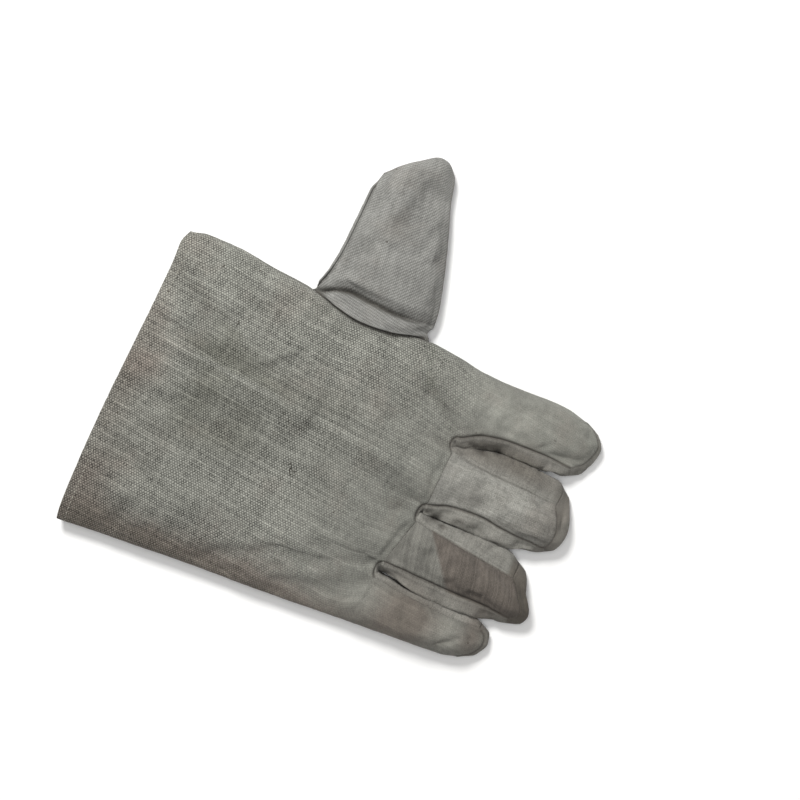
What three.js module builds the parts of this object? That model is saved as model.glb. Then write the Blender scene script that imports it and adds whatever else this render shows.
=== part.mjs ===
// Canvas work glove for a left hand, lying on its back with the palm up.
// Units are millimetres. +Z is up, the fingers point to +Y, the thumb sticks out to -X and the cuff opens to -Y.
//
// The glove is one hollow skin of doubled canvas with five stalls (four fingers and a thumb) and an open cuff.
// The skin is laid out once as a net of four-sided patches, worked out from the tables below. Every patch belongs
// to one pattern piece, and each pattern piece is then given its wall thickness and becomes a solid of its own:
// neighbouring pieces share the same mitre at their seam and stand SEAM_GAP apart.
//
//   palm_panel            palm, with the fronts of the first and the little finger, cut in one piece
//   middle_finger_front   front of the middle finger, sewn to the palm at the finger's root
//   ring_finger_front     front of the ring finger, sewn to the palm at the finger's root
//   back_panel            back of the hand and of all four fingers, closing over the finger tips
//   gusset_*              the strips that run down one finger, round the crotch and up the next
//   thumb_front/back      the two halves of the thumb stall, set into the thumb side of the palm
//   cuff_hem              the band that is turned in at the cuff and stitched down

import * as THREE from "three";

// ---------------------------------------------------------------- driving dimensions
const WALL = 1.6; // two layers of canvas sewn together
const SEAM_GAP = 0.44; // clearance between neighbouring pattern pieces
const HEM_WIDTH = 9.5; // depth of the turned-in band at the cuff
const HEM_WALL = 1.2;
const HEM_GAP = 0.35; // between the hem and the panels round it
const SIDE_SEAM_Z = 7.5; // height of the side seams over the table
const GUSSET_FOOT_Z = 2.8; // where a gusset meets the back panel
const CENTRE_X = 43.68; // moves the middle of the outline to the origin
const CENTRE_Y = -119.83;

// The hand, a row for each section across it: its edges, the height of the palm over the table, and how far the
// palm and the back stand apart at the thumb side, where the thumb stall opens.
const HAND = [
  { y: 0, left: -80.5, right: 80.0, crown: 21.5 },
  { y: 12, left: -84.0, right: 79.2, crown: 22.5 },
  { y: 32, left: -84.2, right: 77.6, crown: 24.0 },
  { y: 52, left: -82.0, right: 76.4, crown: 25.5 },
  { y: 73, left: -80.6, right: 75.1, crown: 26.0 },
  { y: 89, left: -75.6, right: 74.2, crown: 26.0 },
  { y: 104, left: -73.6, right: 73.4, crown: 25.5 },
  { y: 118, left: -74.8, right: 72.6, crown: 24.5 },
  { y: 139, left: -79.0, right: 71.2, crown: 22.5 },
  { y: 157, left: -77.0, right: 70.2, crown: 20.5 },
  { y: 172, left: -74.5, right: 69.6, crown: 19.5 },
];
const THUMB_HOLE = { from: 73, to: 139, rise: 5.6, drop: 4.6 };

// The cuff's edge isn't quite square to the fingers: how far up or down the hand it lies at places across it.
const CUFF_LINE = [
  { x: -84, y: 0.8 },
  { x: -72, y: 2.1 },
  { x: -26, y: 1.6 },
  { x: 23, y: -0.5 },
  { x: 80, y: -1.5 },
];
const CUFF_LINE_FADE = 46; // the slant has died out at this y

// The fingers. left and right are the finger's own outline, seamL and seamR the edges of its front piece, and
// height is its crown over the table. tip lists how far the finger reaches at shares of its width, and setback is
// how far short of that its front piece ends, where the back panel comes up over the tip.
const FINGERS = [
  {
    name: "index",
    setback: 2.2,
    rootL: 172,
    rootR: 171.6,
    sections: [
      { y: 171, left: -74.5, seamL: -74.5, seamR: -38.6, right: -34.4, height: 19.0 },
      { y: 182, left: -74.0, seamL: -74.0, seamR: -44.4, right: -36.8, height: 18.6 },
      { y: 196, left: -74.3, seamL: -74.3, seamR: -46.8, right: -40.0, height: 18.0 },
      { y: 211, left: -75.0, seamL: -75.0, seamR: -47.0, right: -40.1, height: 17.4 },
      { y: 228, left: -73.6, seamL: -73.6, seamR: -46.2, right: -40.0, height: 15.4 },
      { y: 240, left: -71.0, seamL: -71.0, seamR: -45.8, right: -39.8, height: 12.6 },
    ],
    tip: [
      { share: 0, y: 224.0 },
      { share: 0.12, y: 235.0 },
      { share: 0.4, y: 240.7 },
      { share: 0.8, y: 237.3 },
      { share: 1, y: 231.4 },
    ],
  },
  {
    name: "middle",
    setback: 4.4,
    rootL: 171.6,
    rootR: 170.2,
    sections: [
      { y: 170, left: -33.4, seamL: -31.2, seamR: -0.9, right: 3.6, height: 19.0 },
      { y: 182, left: -36.0, seamL: -28.8, seamR: -4.4, right: 3.7, height: 18.8 },
      { y: 196, left: -39.2, seamL: -27.2, seamR: -6.0, right: 3.6, height: 18.2 },
      { y: 211, left: -39.2, seamL: -27.1, seamR: -3.9, right: 3.6, height: 17.6 },
      { y: 228, left: -39.0, seamL: -26.2, seamR: -2.6, right: 2.4, height: 15.8 },
      { y: 240, left: -37.0, seamL: -25.0, seamR: -3.0, right: -0.4, height: 13.0 },
    ],
    tip: [
      { share: 0, y: 230.5 },
      { share: 0.22, y: 237.4 },
      { share: 0.56, y: 241.2 },
      { share: 0.88, y: 238.8 },
      { share: 1, y: 235.4 },
    ],
  },
  {
    name: "ring",
    setback: 4.6,
    rootL: 168.4,
    rootR: 161.0,
    sections: [
      { y: 162, left: 4.9, seamL: 8.6, seamR: 34.9, right: 39.6, height: 18.6 },
      { y: 182, left: 4.5, seamL: 11.0, seamR: 35.2, right: 42.8, height: 18.4 },
      { y: 196, left: 4.4, seamL: 13.0, seamR: 35.5, right: 43.4, height: 17.8 },
      { y: 211, left: 4.4, seamL: 14.8, seamR: 35.8, right: 42.2, height: 17.2 },
      { y: 228, left: 5.4, seamL: 16.4, seamR: 36.5, right: 41.0, height: 15.2 },
      { y: 240, left: 8.0, seamL: 17.4, seamR: 36.6, right: 40.4, height: 12.6 },
    ],
    tip: [
      { share: 0, y: 224.6 },
      { share: 0.12, y: 230.6 },
      { share: 0.36, y: 234.8 },
      { share: 0.78, y: 239.6 },
      { share: 1, y: 233.4 },
    ],
  },
  {
    name: "little",
    setback: 3.0,
    rootL: 160.6,
    rootR: 158.6,
    sections: [
      { y: 160, left: 40.8, seamL: 43.8, seamR: 70.1, right: 70.1, height: 18.0 },
      { y: 182, left: 43.6, seamL: 46.4, seamR: 68.6, right: 68.6, height: 17.6 },
      { y: 196, left: 44.2, seamL: 47.2, seamR: 68.0, right: 68.0, height: 17.0 },
      { y: 212, left: 43.0, seamL: 47.0, seamR: 67.2, right: 67.2, height: 15.0 },
      { y: 226, left: 43.0, seamL: 46.8, seamR: 66.0, right: 66.0, height: 12.4 },
    ],
    tip: [
      { share: 0, y: 217.6 },
      { share: 0.14, y: 223.8 },
      { share: 0.36, y: 225.9 },
      { share: 0.72, y: 222.6 },
      { share: 1, y: 213.0 },
    ],
  },
];

// The thumb stall, a row for each section from its root outwards: its two edges along the hand, and the height of
// its front over the table. The dip near the root is the crease where the stall bends up off the palm.
const THUMB = [
  { x: -72, low: 73.0, high: 139.0, height: 17.0 },
  { x: -79, low: 73.4, high: 138.6, height: 16.0 },
  { x: -84.5, low: 75.6, high: 137.8, height: 13.0 },
  { x: -92, low: 77.6, high: 136.6, height: 17.2 },
  { x: -104, low: 79.6, high: 134.4, height: 18.4 },
  { x: -118, low: 80.7, high: 131.4, height: 17.8 },
  { x: -135, low: 80.7, high: 126.4, height: 16.4 },
  { x: -148, low: 82.4, high: 122.0, height: 14.8 },
  { x: -160, low: 85.4, high: 119.6, height: 13.0 },
  { x: -170, low: 88.0, high: 118.0, height: 11.6 },
];
const THUMB_TIP = [
  { share: 0, x: -149.0 },
  { share: 0.16, x: -154.5 },
  { share: 0.36, x: -160.8 },
  { share: 0.64, x: -167.4 },
  { share: 0.86, x: -167.2 },
  { share: 1, x: -158.5 },
];

// Soft folds pressed into the palm: a valley from one point to another, with its half width and depth.
const FOLDS = [
  { x0: -77, y0: 141, x1: -50, y1: 150, width: 7, depth: 2.2 }, // root of the first finger, thumb side
  { x0: -50, y0: 150, x1: -40, y1: 166, width: 6, depth: 1.8 },
  { x0: -66, y0: 14, x1: -34, y1: 41, width: 8, depth: 2.0 }, // near the cuff's thumb-side corner
  { x0: 2, y0: 62, x1: -26, y1: 92, width: 13, depth: 1.6 }, // hollow of the palm
  { x0: 30, y0: 18, x1: 64, y1: 78, width: 9, depth: 1.2 }, // little-finger side
  { x0: 18, y0: 140, x1: 40, y1: 158, width: 6, depth: 1.4 }, // towards the ring finger's root
];

// How finely each stretch is divided: shares of its length or width.
const FINGER_ACROSS = [0, 0.1, 0.3, 0.5, 0.7, 0.9, 1];
const FINGER_ALONG = [0, 0.1, 0.26, 0.44, 0.62, 0.8, 0.93, 1];
const THUMB_ACROSS = [0, 0.08, 0.25, 0.42, 0.58, 0.75, 0.92, 1];
const THUMB_ALONG = [0, 0.07, 0.14, 0.24, 0.4, 0.58, 0.76, 0.91, 1];
const CUFF_ROWS = [0, 9.5, 20, 33, 47, 61]; // y of the rows below the thumb
const UPPER_ROWS = [0.3, 0.68, 1]; // shares of the way from the thumb hole to the finger roots
const LEVELS = 3; // steps down a gusset or a finger tip

// ---------------------------------------------------------------- small helpers
const mix = (a, b, t) => a + (b - a) * t;
const smooth = (t) => {
  const c = Math.min(1, Math.max(0, t));
  return c * c * (3 - 2 * c);
};

// Reads one column of a table at a place between its rows, on a smooth curve through them.
function read(table, by, column, at) {
  const sign = table[table.length - 1][by] < table[0][by] ? -1 : 1;
  const t = table.map((r) => r[by] * sign);
  const v = table.map((r) => r[column]);
  const a = at * sign;
  if (a <= t[0]) return v[0];
  if (a >= t[t.length - 1]) return v[v.length - 1];
  let i = 0;
  while (a > t[i + 1]) i++;
  const slope = (k) => {
    if (k === 0 || k === t.length - 1) return 0;
    const d0 = (v[k] - v[k - 1]) / (t[k] - t[k - 1]);
    const d1 = (v[k + 1] - v[k]) / (t[k + 1] - t[k]);
    return d0 * d1 <= 0 ? 0 : (2 * d0 * d1) / (d0 + d1);
  };
  const h = t[i + 1] - t[i];
  const u = (a - t[i]) / h;
  const m0 = slope(i) * h;
  const m1 = slope(i + 1) * h;
  return (
    (2 * u ** 3 - 3 * u ** 2 + 1) * v[i] +
    (u ** 3 - 2 * u ** 2 + u) * m0 +
    (-2 * u ** 3 + 3 * u ** 2) * v[i + 1] +
    (u ** 3 - u ** 2) * m1
  );
}

// How deep the folds press the palm at a point.
function dent(x, y) {
  let sum = 0;
  for (const f of FOLDS) {
    const dx = f.x1 - f.x0;
    const dy = f.y1 - f.y0;
    const t = Math.min(
      1,
      Math.max(0, ((x - f.x0) * dx + (y - f.y0) * dy) / (dx * dx + dy * dy)),
    );
    const d = Math.hypot(x - f.x0 - t * dx, y - f.y0 - t * dy);
    sum += f.depth * Math.exp(-((d / f.width) ** 2));
  }
  return sum;
}

// ---------------------------------------------------------------- the skin
const points = []; // THREE.Vector3 of the outer surface
const patches = []; // { piece, corners: [a, b, c, d] } seen from outside, anticlockwise

const put = (x, y, z) => points.push(new THREE.Vector3(x, y, z)) - 1;
const patch = (piece, ...corners) => {
  const loop = corners.filter((c, i) => c !== corners[(i + 1) % corners.length]);
  if (loop.length > 2) patches.push({ piece, corners: loop });
};

const FINGER_PIECE = [
  "palm_panel",
  "middle_finger_front",
  "ring_finger_front",
  "palm_panel",
];
const GUSSET_PIECE = [
  "gusset_index_middle",
  "gusset_middle_ring",
  "gusset_ring_little",
];

// One finger's cross-section at a height y along it.
function fingerSection(finger, y) {
  const at = (column) => read(finger.sections, "y", column, y);
  const height = at("height");
  const plainL = finger.name === "index"; // a side seam, not a gusset
  const plainR = finger.name === "little";
  return {
    left: at("left"),
    right: at("right"),
    seamL: at("seamL"),
    seamR: at("seamR"),
    height,
    topL: plainL ? Math.min(SIDE_SEAM_Z, height * 0.45) : height - 3.4,
    topR: plainR ? Math.min(SIDE_SEAM_Z, height * 0.45) : height - 3.4,
    footL: plainL ? 0 : 1.3, // how far in from the outline the gusset's foot stands
    footR: plainR ? 0 : 1.3,
    plainL,
    plainR,
  };
}

// Height of the front of a finger, and of its back, at a share of its width.
function frontZ(s, share) {
  const edge = mix(s.topL, s.topR, share);
  const off = Math.abs(2 * share - 1);
  const side = share < 0.5 ? s.plainL : s.plainR;
  return edge + (s.height - edge) * (1 - off ** (side ? 4.5 : 2.6));
}
function backZ(s, share) {
  const off = Math.abs(2 * share - 1);
  const plain = share < 0.5 ? s.plainL : s.plainR;
  const edge = plain ? (share < 0.5 ? s.topL : s.topR) : GUSSET_FOOT_Z;
  if (off > 0.99) return edge;
  return off > 0.7 && plain ? 1.1 : 0;
}

// Columns of the hand's net at the finger roots: the fingers' own columns with a crotch between each two.
function rootColumns(front) {
  const columns = [];
  FINGERS.forEach((finger, g) => {
    FINGER_ACROSS.forEach((share) => {
      const y = mix(finger.rootL, finger.rootR, share);
      const s = fingerSection(finger, y);
      const x0 = front ? s.seamL : s.left + s.footL;
      const x1 = front ? s.seamR : s.right - s.footR;
      columns.push({
        x: mix(x0, x1, share),
        y,
        z: front ? frontZ(s, share) : backZ(s, share),
      });
    });
    if (g < 3) {
      // the middle of the crotch, a little further down the hand than its two ends
      const next = FINGERS[g + 1];
      const a = columns[columns.length - 1];
      const sn = fingerSection(next, next.rootL);
      const bx = front ? sn.seamL : sn.left + sn.footL;
      columns.push({
        x: (a.x + bx) / 2,
        y: Math.min(a.y, next.rootL) - (front ? 2.4 : 1.2),
        z: front ? a.z - 0.8 : GUSSET_FOOT_Z,
      });
    }
  });
  return columns;
}

const rootFront = rootColumns(true);
const rootBack = rootColumns(false);
const COLUMNS = rootFront.length - 1;
const rowShares = [
  ...CUFF_ROWS.map((y) => ({ y, up: 0 })),
  ...THUMB_ACROSS.map((f) => ({ y: mix(THUMB_HOLE.from, THUMB_HOLE.to, f), up: 0 })),
  ...UPPER_ROWS.map((up) => ({ y: THUMB_HOLE.to, up })),
];
const FIRST_THUMB_ROW = CUFF_ROWS.length;
const LAST_THUMB_ROW = FIRST_THUMB_ROW + THUMB_ACROSS.length - 1;
const TOP_ROW = rowShares.length - 1;

// A point of the hand, on the palm (front) or the back, in net row r and column c.
function handPoint(front, r, c) {
  const root = (front ? rootFront : rootBack)[c];
  const ends = front ? rootFront : rootBack;
  const { up } = rowShares[r];
  if (up === 1) return [root.x, root.y, root.z];
  const y = mix(rowShares[r].y, root.y, up);
  const left = read(HAND, "y", "left", y);
  const right = read(HAND, "y", "right", y);
  const share = (root.x - ends[0].x) / (ends[COLUMNS].x - ends[0].x);
  const x = mix(left, right, share);
  const slant = read(CUFF_LINE, "x", "y", x) * smooth(1 - y / CUFF_LINE_FADE);
  const off = Math.abs(2 * share - 1);
  const crown = read(HAND, "y", "crown", y);
  // towards the finger roots the plain dome turns into the four crowns of the fingers
  const w = smooth((y - 118) / 52);
  let edge = SIDE_SEAM_Z;
  const inHole = r > FIRST_THUMB_ROW && r < LAST_THUMB_ROW;
  if (inHole) {
    const open =
      Math.sin(
        (Math.PI * (y - THUMB_HOLE.from)) / (THUMB_HOLE.to - THUMB_HOLE.from),
      ) ** 0.5;
    const near = smooth((0.35 - share) / 0.35);
    edge += near * open * (front ? THUMB_HOLE.rise : -THUMB_HOLE.drop);
  }
  if (front) {
    const dome = edge + (crown - edge) * Math.max(0, 1 - off ** 3) ** 0.55;
    const rim = off > 0.999 ? 0 : dent(x, y);
    return [x, y + slant, mix(dome, root.z, w * w) - rim * (1 - w * w * 0.5)];
  }
  const lift = Math.max(0, (off - 0.9) / 0.1);
  const floor = edge * lift ** 1.5;
  return [x, y + slant, mix(floor, root.z, w ** 6)];
}

const palm = [];
const back = [];
for (let r = 0; r <= TOP_ROW; r++) {
  palm.push([]);
  back.push([]);
  const inHole = r > FIRST_THUMB_ROW && r < LAST_THUMB_ROW;
  for (let c = 0; c <= COLUMNS; c++) {
    palm[r].push(put(...handPoint(true, r, c)));
    const shared = c === COLUMNS || (c === 0 && !inHole); // a side seam
    back[r].push(shared ? palm[r][c] : put(...handPoint(false, r, c)));
  }
}
for (let r = 0; r < TOP_ROW; r++)
  for (let c = 0; c < COLUMNS; c++) {
    patch("palm_panel", palm[r][c], palm[r][c + 1], palm[r + 1][c + 1], palm[r + 1][c]);
    patch("back_panel", back[r][c], back[r + 1][c], back[r + 1][c + 1], back[r][c + 1]);
  }

// The four fingers: front and back rows, then the two sides, then the tip.
const sides = []; // per finger: { left, right } columns of a gusset at the root
FINGERS.forEach((finger, g) => {
  const first = g * (FINGER_ACROSS.length + 1);
  const front = [FINGER_ACROSS.map((_, j) => palm[TOP_ROW][first + j])];
  const rear = [FINGER_ACROSS.map((_, j) => back[TOP_ROW][first + j])];
  const last = FINGER_ALONG.length - 1;
  for (let i = 1; i <= last; i++) {
    const f = [];
    const b = [];
    FINGER_ACROSS.forEach((share, j) => {
      const yRoot = mix(finger.rootL, finger.rootR, share);
      const yTip = read(finger.tip, "share", "y", share);
      const inner = 1 - Math.abs(2 * share - 1) ** 4; // nothing at the finger's edges
      const y = mix(yRoot, yTip - finger.setback * inner, FINGER_ALONG[i]);
      const yBack = mix(yRoot, yTip - 1.6 * inner, FINGER_ALONG[i]);
      const s = fingerSection(finger, y);
      const t = fingerSection(finger, yBack);
      f.push(put(mix(s.seamL, s.seamR, share), y, frontZ(s, share)));
      const plain = (j === 0 && s.plainL) || (j === FINGER_ACROSS.length - 1 && s.plainR);
      const x = mix(t.left + t.footL, t.right - t.footR, share);
      b.push(plain ? f[j] : put(x, yBack, backZ(t, share) + 1.4 * FINGER_ALONG[i] ** 6));
    });
    front.push(f);
    rear.push(b);
  }
  const n = FINGER_ACROSS.length - 1;
  const side = (right) =>
    front.map((row, i) => {
      const j = right ? n : 0;
      const top = points[row[j]];
      const foot = points[rear[i][j]];
      if (row[j] === rear[i][j]) return Array(LEVELS + 1).fill(row[j]);
      const s = fingerSection(finger, top.y);
      const out = right ? s.right : s.left;
      return [
        row[j],
        put(mix(top.x, out, 0.72), top.y, mix(top.z, foot.z, 0.26)),
        put(out, top.y, mix(top.z, foot.z, 0.66)),
        rear[i][j],
      ];
    });
  const leftSide = side(false);
  const rightSide = side(true);
  sides.push({ left: leftSide[0], right: rightSide[0] });
  for (let i = 0; i < last; i++) {
    for (let j = 0; j < n; j++) {
      patch(FINGER_PIECE[g], front[i][j], front[i][j + 1], front[i + 1][j + 1], front[i + 1][j]);
      patch("back_panel", rear[i][j], rear[i + 1][j], rear[i + 1][j + 1], rear[i][j + 1]);
    }
    for (let k = 0; k < LEVELS; k++) {
      const [R, L] = [rightSide, leftSide];
      if (g < 3) patch(GUSSET_PIECE[g], R[i][k], R[i][k + 1], R[i + 1][k + 1], R[i + 1][k]);
      if (g > 0) patch(GUSSET_PIECE[g - 1], L[i][k], L[i + 1][k], L[i + 1][k + 1], L[i][k + 1]);
    }
  }
  // the back panel closes over the tip
  const cap = FINGER_ACROSS.map((share, j) => {
    if (j === 0) return leftSide[last];
    if (j === n) return rightSide[last];
    const top = points[front[last][j]];
    const foot = points[rear[last][j]];
    const yTip = read(finger.tip, "share", "y", share);
    return [
      front[last][j],
      put(mix(top.x, foot.x, 0.3), mix(top.y, yTip, 0.8), mix(top.z, foot.z, 0.28)),
      put(mix(top.x, foot.x, 0.7), yTip + 0.2, mix(top.z, foot.z, 0.66)),
      rear[last][j],
    ];
  });
  for (let j = 0; j < n; j++)
    for (let k = 0; k < LEVELS; k++)
      patch("back_panel", cap[j][k], cap[j + 1][k], cap[j + 1][k + 1], cap[j][k + 1]);
});

// The crotches between the fingers, where each gusset turns.
for (let g = 0; g < 3; g++) {
  const c = g * (FINGER_ACROSS.length + 1) + FINGER_ACROSS.length - 1;
  const a = sides[g].right;
  const b = sides[g + 1].left;
  const top = points[palm[TOP_ROW][c + 1]];
  const foot = points[back[TOP_ROW][c + 1]];
  const x = (points[a[2]].x + points[b[2]].x) / 2;
  const middle = [
    palm[TOP_ROW][c + 1],
    put(mix(top.x, x, 0.7), mix(top.y, foot.y, 0.4) + 1.6, mix(top.z, foot.z, 0.28)),
    put(x, foot.y + 1.0, mix(top.z, foot.z, 0.66)),
    back[TOP_ROW][c + 1],
  ];
  for (let k = 0; k < LEVELS; k++) {
    patch(GUSSET_PIECE[g], a[k], middle[k], middle[k + 1], a[k + 1]);
    patch(GUSSET_PIECE[g], middle[k], b[k], b[k + 1], middle[k + 1]);
  }
}

// The thumb stall, from the hole in the hand's side outwards.
{
  const n = THUMB_ACROSS.length - 1;
  const last = THUMB_ALONG.length - 1;
  const front = [THUMB_ACROSS.map((_, j) => palm[FIRST_THUMB_ROW + j][0])];
  const rear = [THUMB_ACROSS.map((_, j) => back[FIRST_THUMB_ROW + j][0])];
  for (let i = 1; i <= last; i++) {
    const f = [];
    const b = [];
    THUMB_ACROSS.forEach((share, j) => {
      const root = points[front[0][j]];
      const tipX = read(THUMB_TIP, "share", "x", share);
      const edge = j === 0 || j === n;
      const x = mix(root.x, tipX + (edge ? 0 : 1.4), THUMB_ALONG[i]);
      const y = mix(read(THUMB, "x", "low", x), read(THUMB, "x", "high", x), share);
      const height = read(THUMB, "x", "height", x);
      const off = Math.abs(2 * share - 1);
      const seam = Math.min(SIDE_SEAM_Z, height * 0.45);
      f.push(put(x, y, seam + (height - seam) * (1 - off ** 4)));
      const fade = (1 - FINGER_ALONG[Math.min(i, 7)]) ** 2;
      const rootZ = points[rear[0][j]].z;
      const floor = off > 0.99 ? seam : off > 0.8 ? 1.2 : 0;
      b.push(edge ? f[j] : put(x, y, mix(floor, rootZ, i < 3 ? fade * 0.6 : 0) + 1.4 * THUMB_ALONG[i] ** 6));
    });
    front.push(f);
    rear.push(b);
  }
  for (let i = 0; i < last; i++)
    for (let j = 0; j < n; j++) {
      patch("thumb_front", front[i][j], front[i][j + 1], front[i + 1][j + 1], front[i + 1][j]);
      patch("thumb_back", rear[i][j], rear[i + 1][j], rear[i + 1][j + 1], rear[i][j + 1]);
    }
  const cap = THUMB_ACROSS.map((share, j) => {
    const a = front[last][j];
    const b = rear[last][j];
    if (a === b) return [a, a, a];
    const p = points[a];
    const q = points[b];
    return [a, put(read(THUMB_TIP, "share", "x", share), p.y, mix(p.z, q.z, 0.5)), b];
  });
  for (let j = 0; j < n; j++)
    for (let k = 0; k < 2; k++)
      patch("thumb_back", cap[j][k], cap[j + 1][k], cap[j + 1][k + 1], cap[j][k + 1]);
}

// ---------------------------------------------------------------- from skin to solids
const faceNormal = (corners) => {
  const n = new THREE.Vector3();
  const o = points[corners[0]];
  for (let i = 1; i + 1 < corners.length; i++) {
    const a = points[corners[i]].clone().sub(o);
    const b = points[corners[i + 1]].clone().sub(o);
    n.add(a.cross(b));
  }
  return n;
};
const normals = points.map(() => new THREE.Vector3());
for (const p of patches) {
  const n = faceNormal(p.corners);
  p.normal = n.clone().normalize();
  for (const c of p.corners) normals[c].add(p.normal.clone().multiplyScalar(Math.sqrt(n.length())));
}
normals.forEach((n) => n.normalize());
// at a sharp corner the wall is thicker along the mitre
const mitre = points.map(() => []);
for (const p of patches) for (const c of p.corners) mitre[c].push(normals[c].dot(p.normal));
const stretch = mitre.map((m) => Math.min(1.45, 1 / Math.max(0.3, m.reduce((a, b) => a + b, 0) / (m.length || 1))));
const inward = (i, depth, from = points[i]) =>
  from.clone().addScaledVector(normals[i], -depth * stretch[i]);

const owners = points.map(() => new Set());
for (const p of patches) for (const c of p.corners) owners[c].add(p.piece);

// A closed solid from the patches of one pattern piece.
function pieceGeometry(name) {
  const own = patches.filter((p) => p.piece === name);
  const used = new Map();
  const towards = new Map();
  const vertices = [];
  const triangles = [];
  for (const p of own) {
    const middle = new THREE.Vector3();
    p.corners.forEach((c) => middle.add(points[c]));
    middle.divideScalar(p.corners.length);
    for (const c of p.corners) {
      if (!towards.has(c)) towards.set(c, new THREE.Vector3());
      towards.get(c).add(middle.clone().sub(points[c]).normalize());
    }
  }
  const vertex = (c) => {
    if (used.has(c)) return used.get(c);
    const outer = points[c].clone();
    if (owners[c].size > 1) {
      // step back from the seam, along the cloth
      const d = towards.get(c).clone();
      d.addScaledVector(normals[c], -d.dot(normals[c])).normalize();
      outer.addScaledVector(d, SEAM_GAP / 2);
    }
    const inner = inward(c, WALL, outer);
    const at = vertices.push(outer, inner) - 2;
    used.set(c, at);
    return at;
  };
  const triangle = (a, b, c) => triangles.push(a, b, c);
  const quad = (a, b, c, d) => {
    // the shorter diagonal gives the smoother surface
    const v = vertices;
    if (v[a].distanceTo(v[c]) <= v[b].distanceTo(v[d])) {
      triangle(a, b, c);
      triangle(a, c, d);
    } else {
      triangle(a, b, d);
      triangle(b, c, d);
    }
  };
  const edges = new Set();
  for (const p of own) {
    const v = p.corners.map(vertex);
    if (v.length === 4) {
      quad(...v);
      quad(...v.map((i) => i + 1).reverse());
    } else {
      triangle(...v);
      triangle(...v.map((i) => i + 1).reverse());
    }
    v.forEach((a, i) => edges.add(a + ">" + v[(i + 1) % v.length]));
  }
  for (const edge of edges) {
    const [a, b] = edge.split(">").map(Number);
    if (!edges.has(b + ">" + a)) quad(b, a, a + 1, b + 1);
  }
  return geometryOf(vertices, triangles);
}

function geometryOf(vertices, triangles) {
  const geometry = new THREE.BufferGeometry();
  const position = new Float32Array(vertices.length * 3);
  vertices.forEach((v, i) => v.toArray(position, i * 3));
  geometry.setAttribute("position", new THREE.BufferAttribute(position, 3));
  geometry.setIndex(triangles);
  geometry.computeVertexNormals();
  return geometry;
}

// The hem: a closed band inside the cuff, following the panels' inner face.
function hemGeometry() {
  const ring = [];
  for (let c = 0; c <= COLUMNS; c++) ring.push([palm, c]);
  for (let c = COLUMNS - 1; c > 0; c--) ring.push([back, c]);
  const depths = [WALL + HEM_GAP, WALL + HEM_GAP + HEM_WALL];
  const stations = [0.4, HEM_WIDTH];
  const vertices = [];
  for (const [net, c] of ring)
    for (const station of stations)
      for (const depth of depths) {
        const t = station / CUFF_ROWS[1];
        const a = inward(net[0][c], depth);
        const b = inward(net[1][c], depth);
        const v = a.lerp(b, t);
        v.y = mix(points[net[0][c]].y, points[net[1][c]].y, t);
        vertices.push(v);
      }
  // vertex order at each place round the ring: front outer, front inner, rear outer, rear inner
  const triangles = [];
  const n = ring.length;
  const at = (i, k) => (i % n) * 4 + k;
  for (let i = 0; i < n; i++)
    for (const [p, q] of [[0, 2], [2, 3], [3, 1], [1, 0]]) {
      triangles.push(at(i, p), at(i + 1, p), at(i + 1, q));
      triangles.push(at(i, p), at(i + 1, q), at(i, q));
    }
  return geometryOf(vertices, triangles);
}

// ---------------------------------------------------------------- the assembly
const canvas = (color) =>
  new THREE.MeshStandardMaterial({ color, roughness: 0.94, metalness: 0 });
const PIECES = [
  { name: "palm_panel", color: 0x9c9a90 },
  { name: "back_panel", color: 0x989589 },
  { name: "middle_finger_front", color: 0x9b988f },
  { name: "ring_finger_front", color: 0x8f8a82 },
  { name: "gusset_index_middle", color: 0x97958b },
  { name: "gusset_middle_ring", color: 0x9a988e },
  { name: "gusset_ring_little", color: 0x9a988e },
  { name: "thumb_front", color: 0xa3a198 },
  { name: "thumb_back", color: 0x9d9b91 },
];

const glove = new THREE.Group();
for (const { name, color } of PIECES) {
  const mesh = new THREE.Mesh(pieceGeometry(name), canvas(color));
  mesh.name = name;
  glove.add(mesh);
}
const hem = new THREE.Mesh(hemGeometry(), canvas(0x969388));
hem.name = "cuff_hem";
glove.add(hem);
glove.position.set(CENTRE_X, CENTRE_Y, 0);

export default glove;
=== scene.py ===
"""Canvas work glove lying palm up. Metres; the same frame as the CAD part."""

import math
import bpy
import numpy as np
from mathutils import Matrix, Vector, kdtree, noise


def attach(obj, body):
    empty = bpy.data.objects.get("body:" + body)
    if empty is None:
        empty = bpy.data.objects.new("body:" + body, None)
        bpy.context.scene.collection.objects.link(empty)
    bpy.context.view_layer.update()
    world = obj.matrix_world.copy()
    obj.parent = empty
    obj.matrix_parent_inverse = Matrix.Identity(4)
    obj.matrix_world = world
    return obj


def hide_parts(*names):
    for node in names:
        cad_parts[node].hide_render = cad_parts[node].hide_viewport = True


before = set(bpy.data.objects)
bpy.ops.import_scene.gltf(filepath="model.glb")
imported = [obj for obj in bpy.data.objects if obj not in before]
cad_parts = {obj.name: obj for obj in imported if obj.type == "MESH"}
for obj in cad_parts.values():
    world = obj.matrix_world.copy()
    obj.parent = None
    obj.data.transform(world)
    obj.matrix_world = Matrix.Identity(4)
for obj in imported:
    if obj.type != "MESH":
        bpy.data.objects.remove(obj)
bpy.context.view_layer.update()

rng = np.random.default_rng(11)

# ---------------------------------------------------------------- sizes, in millimetres as in the CAD
MM = 0.001
CENTRE = np.array([43.68, -119.83, 0.0])  # moves the tables' place to the row frame
WALL = 1.45
SIDE_SEAM_Z = 7.5
GUSSET_FOOT_Z = 2.8

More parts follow.
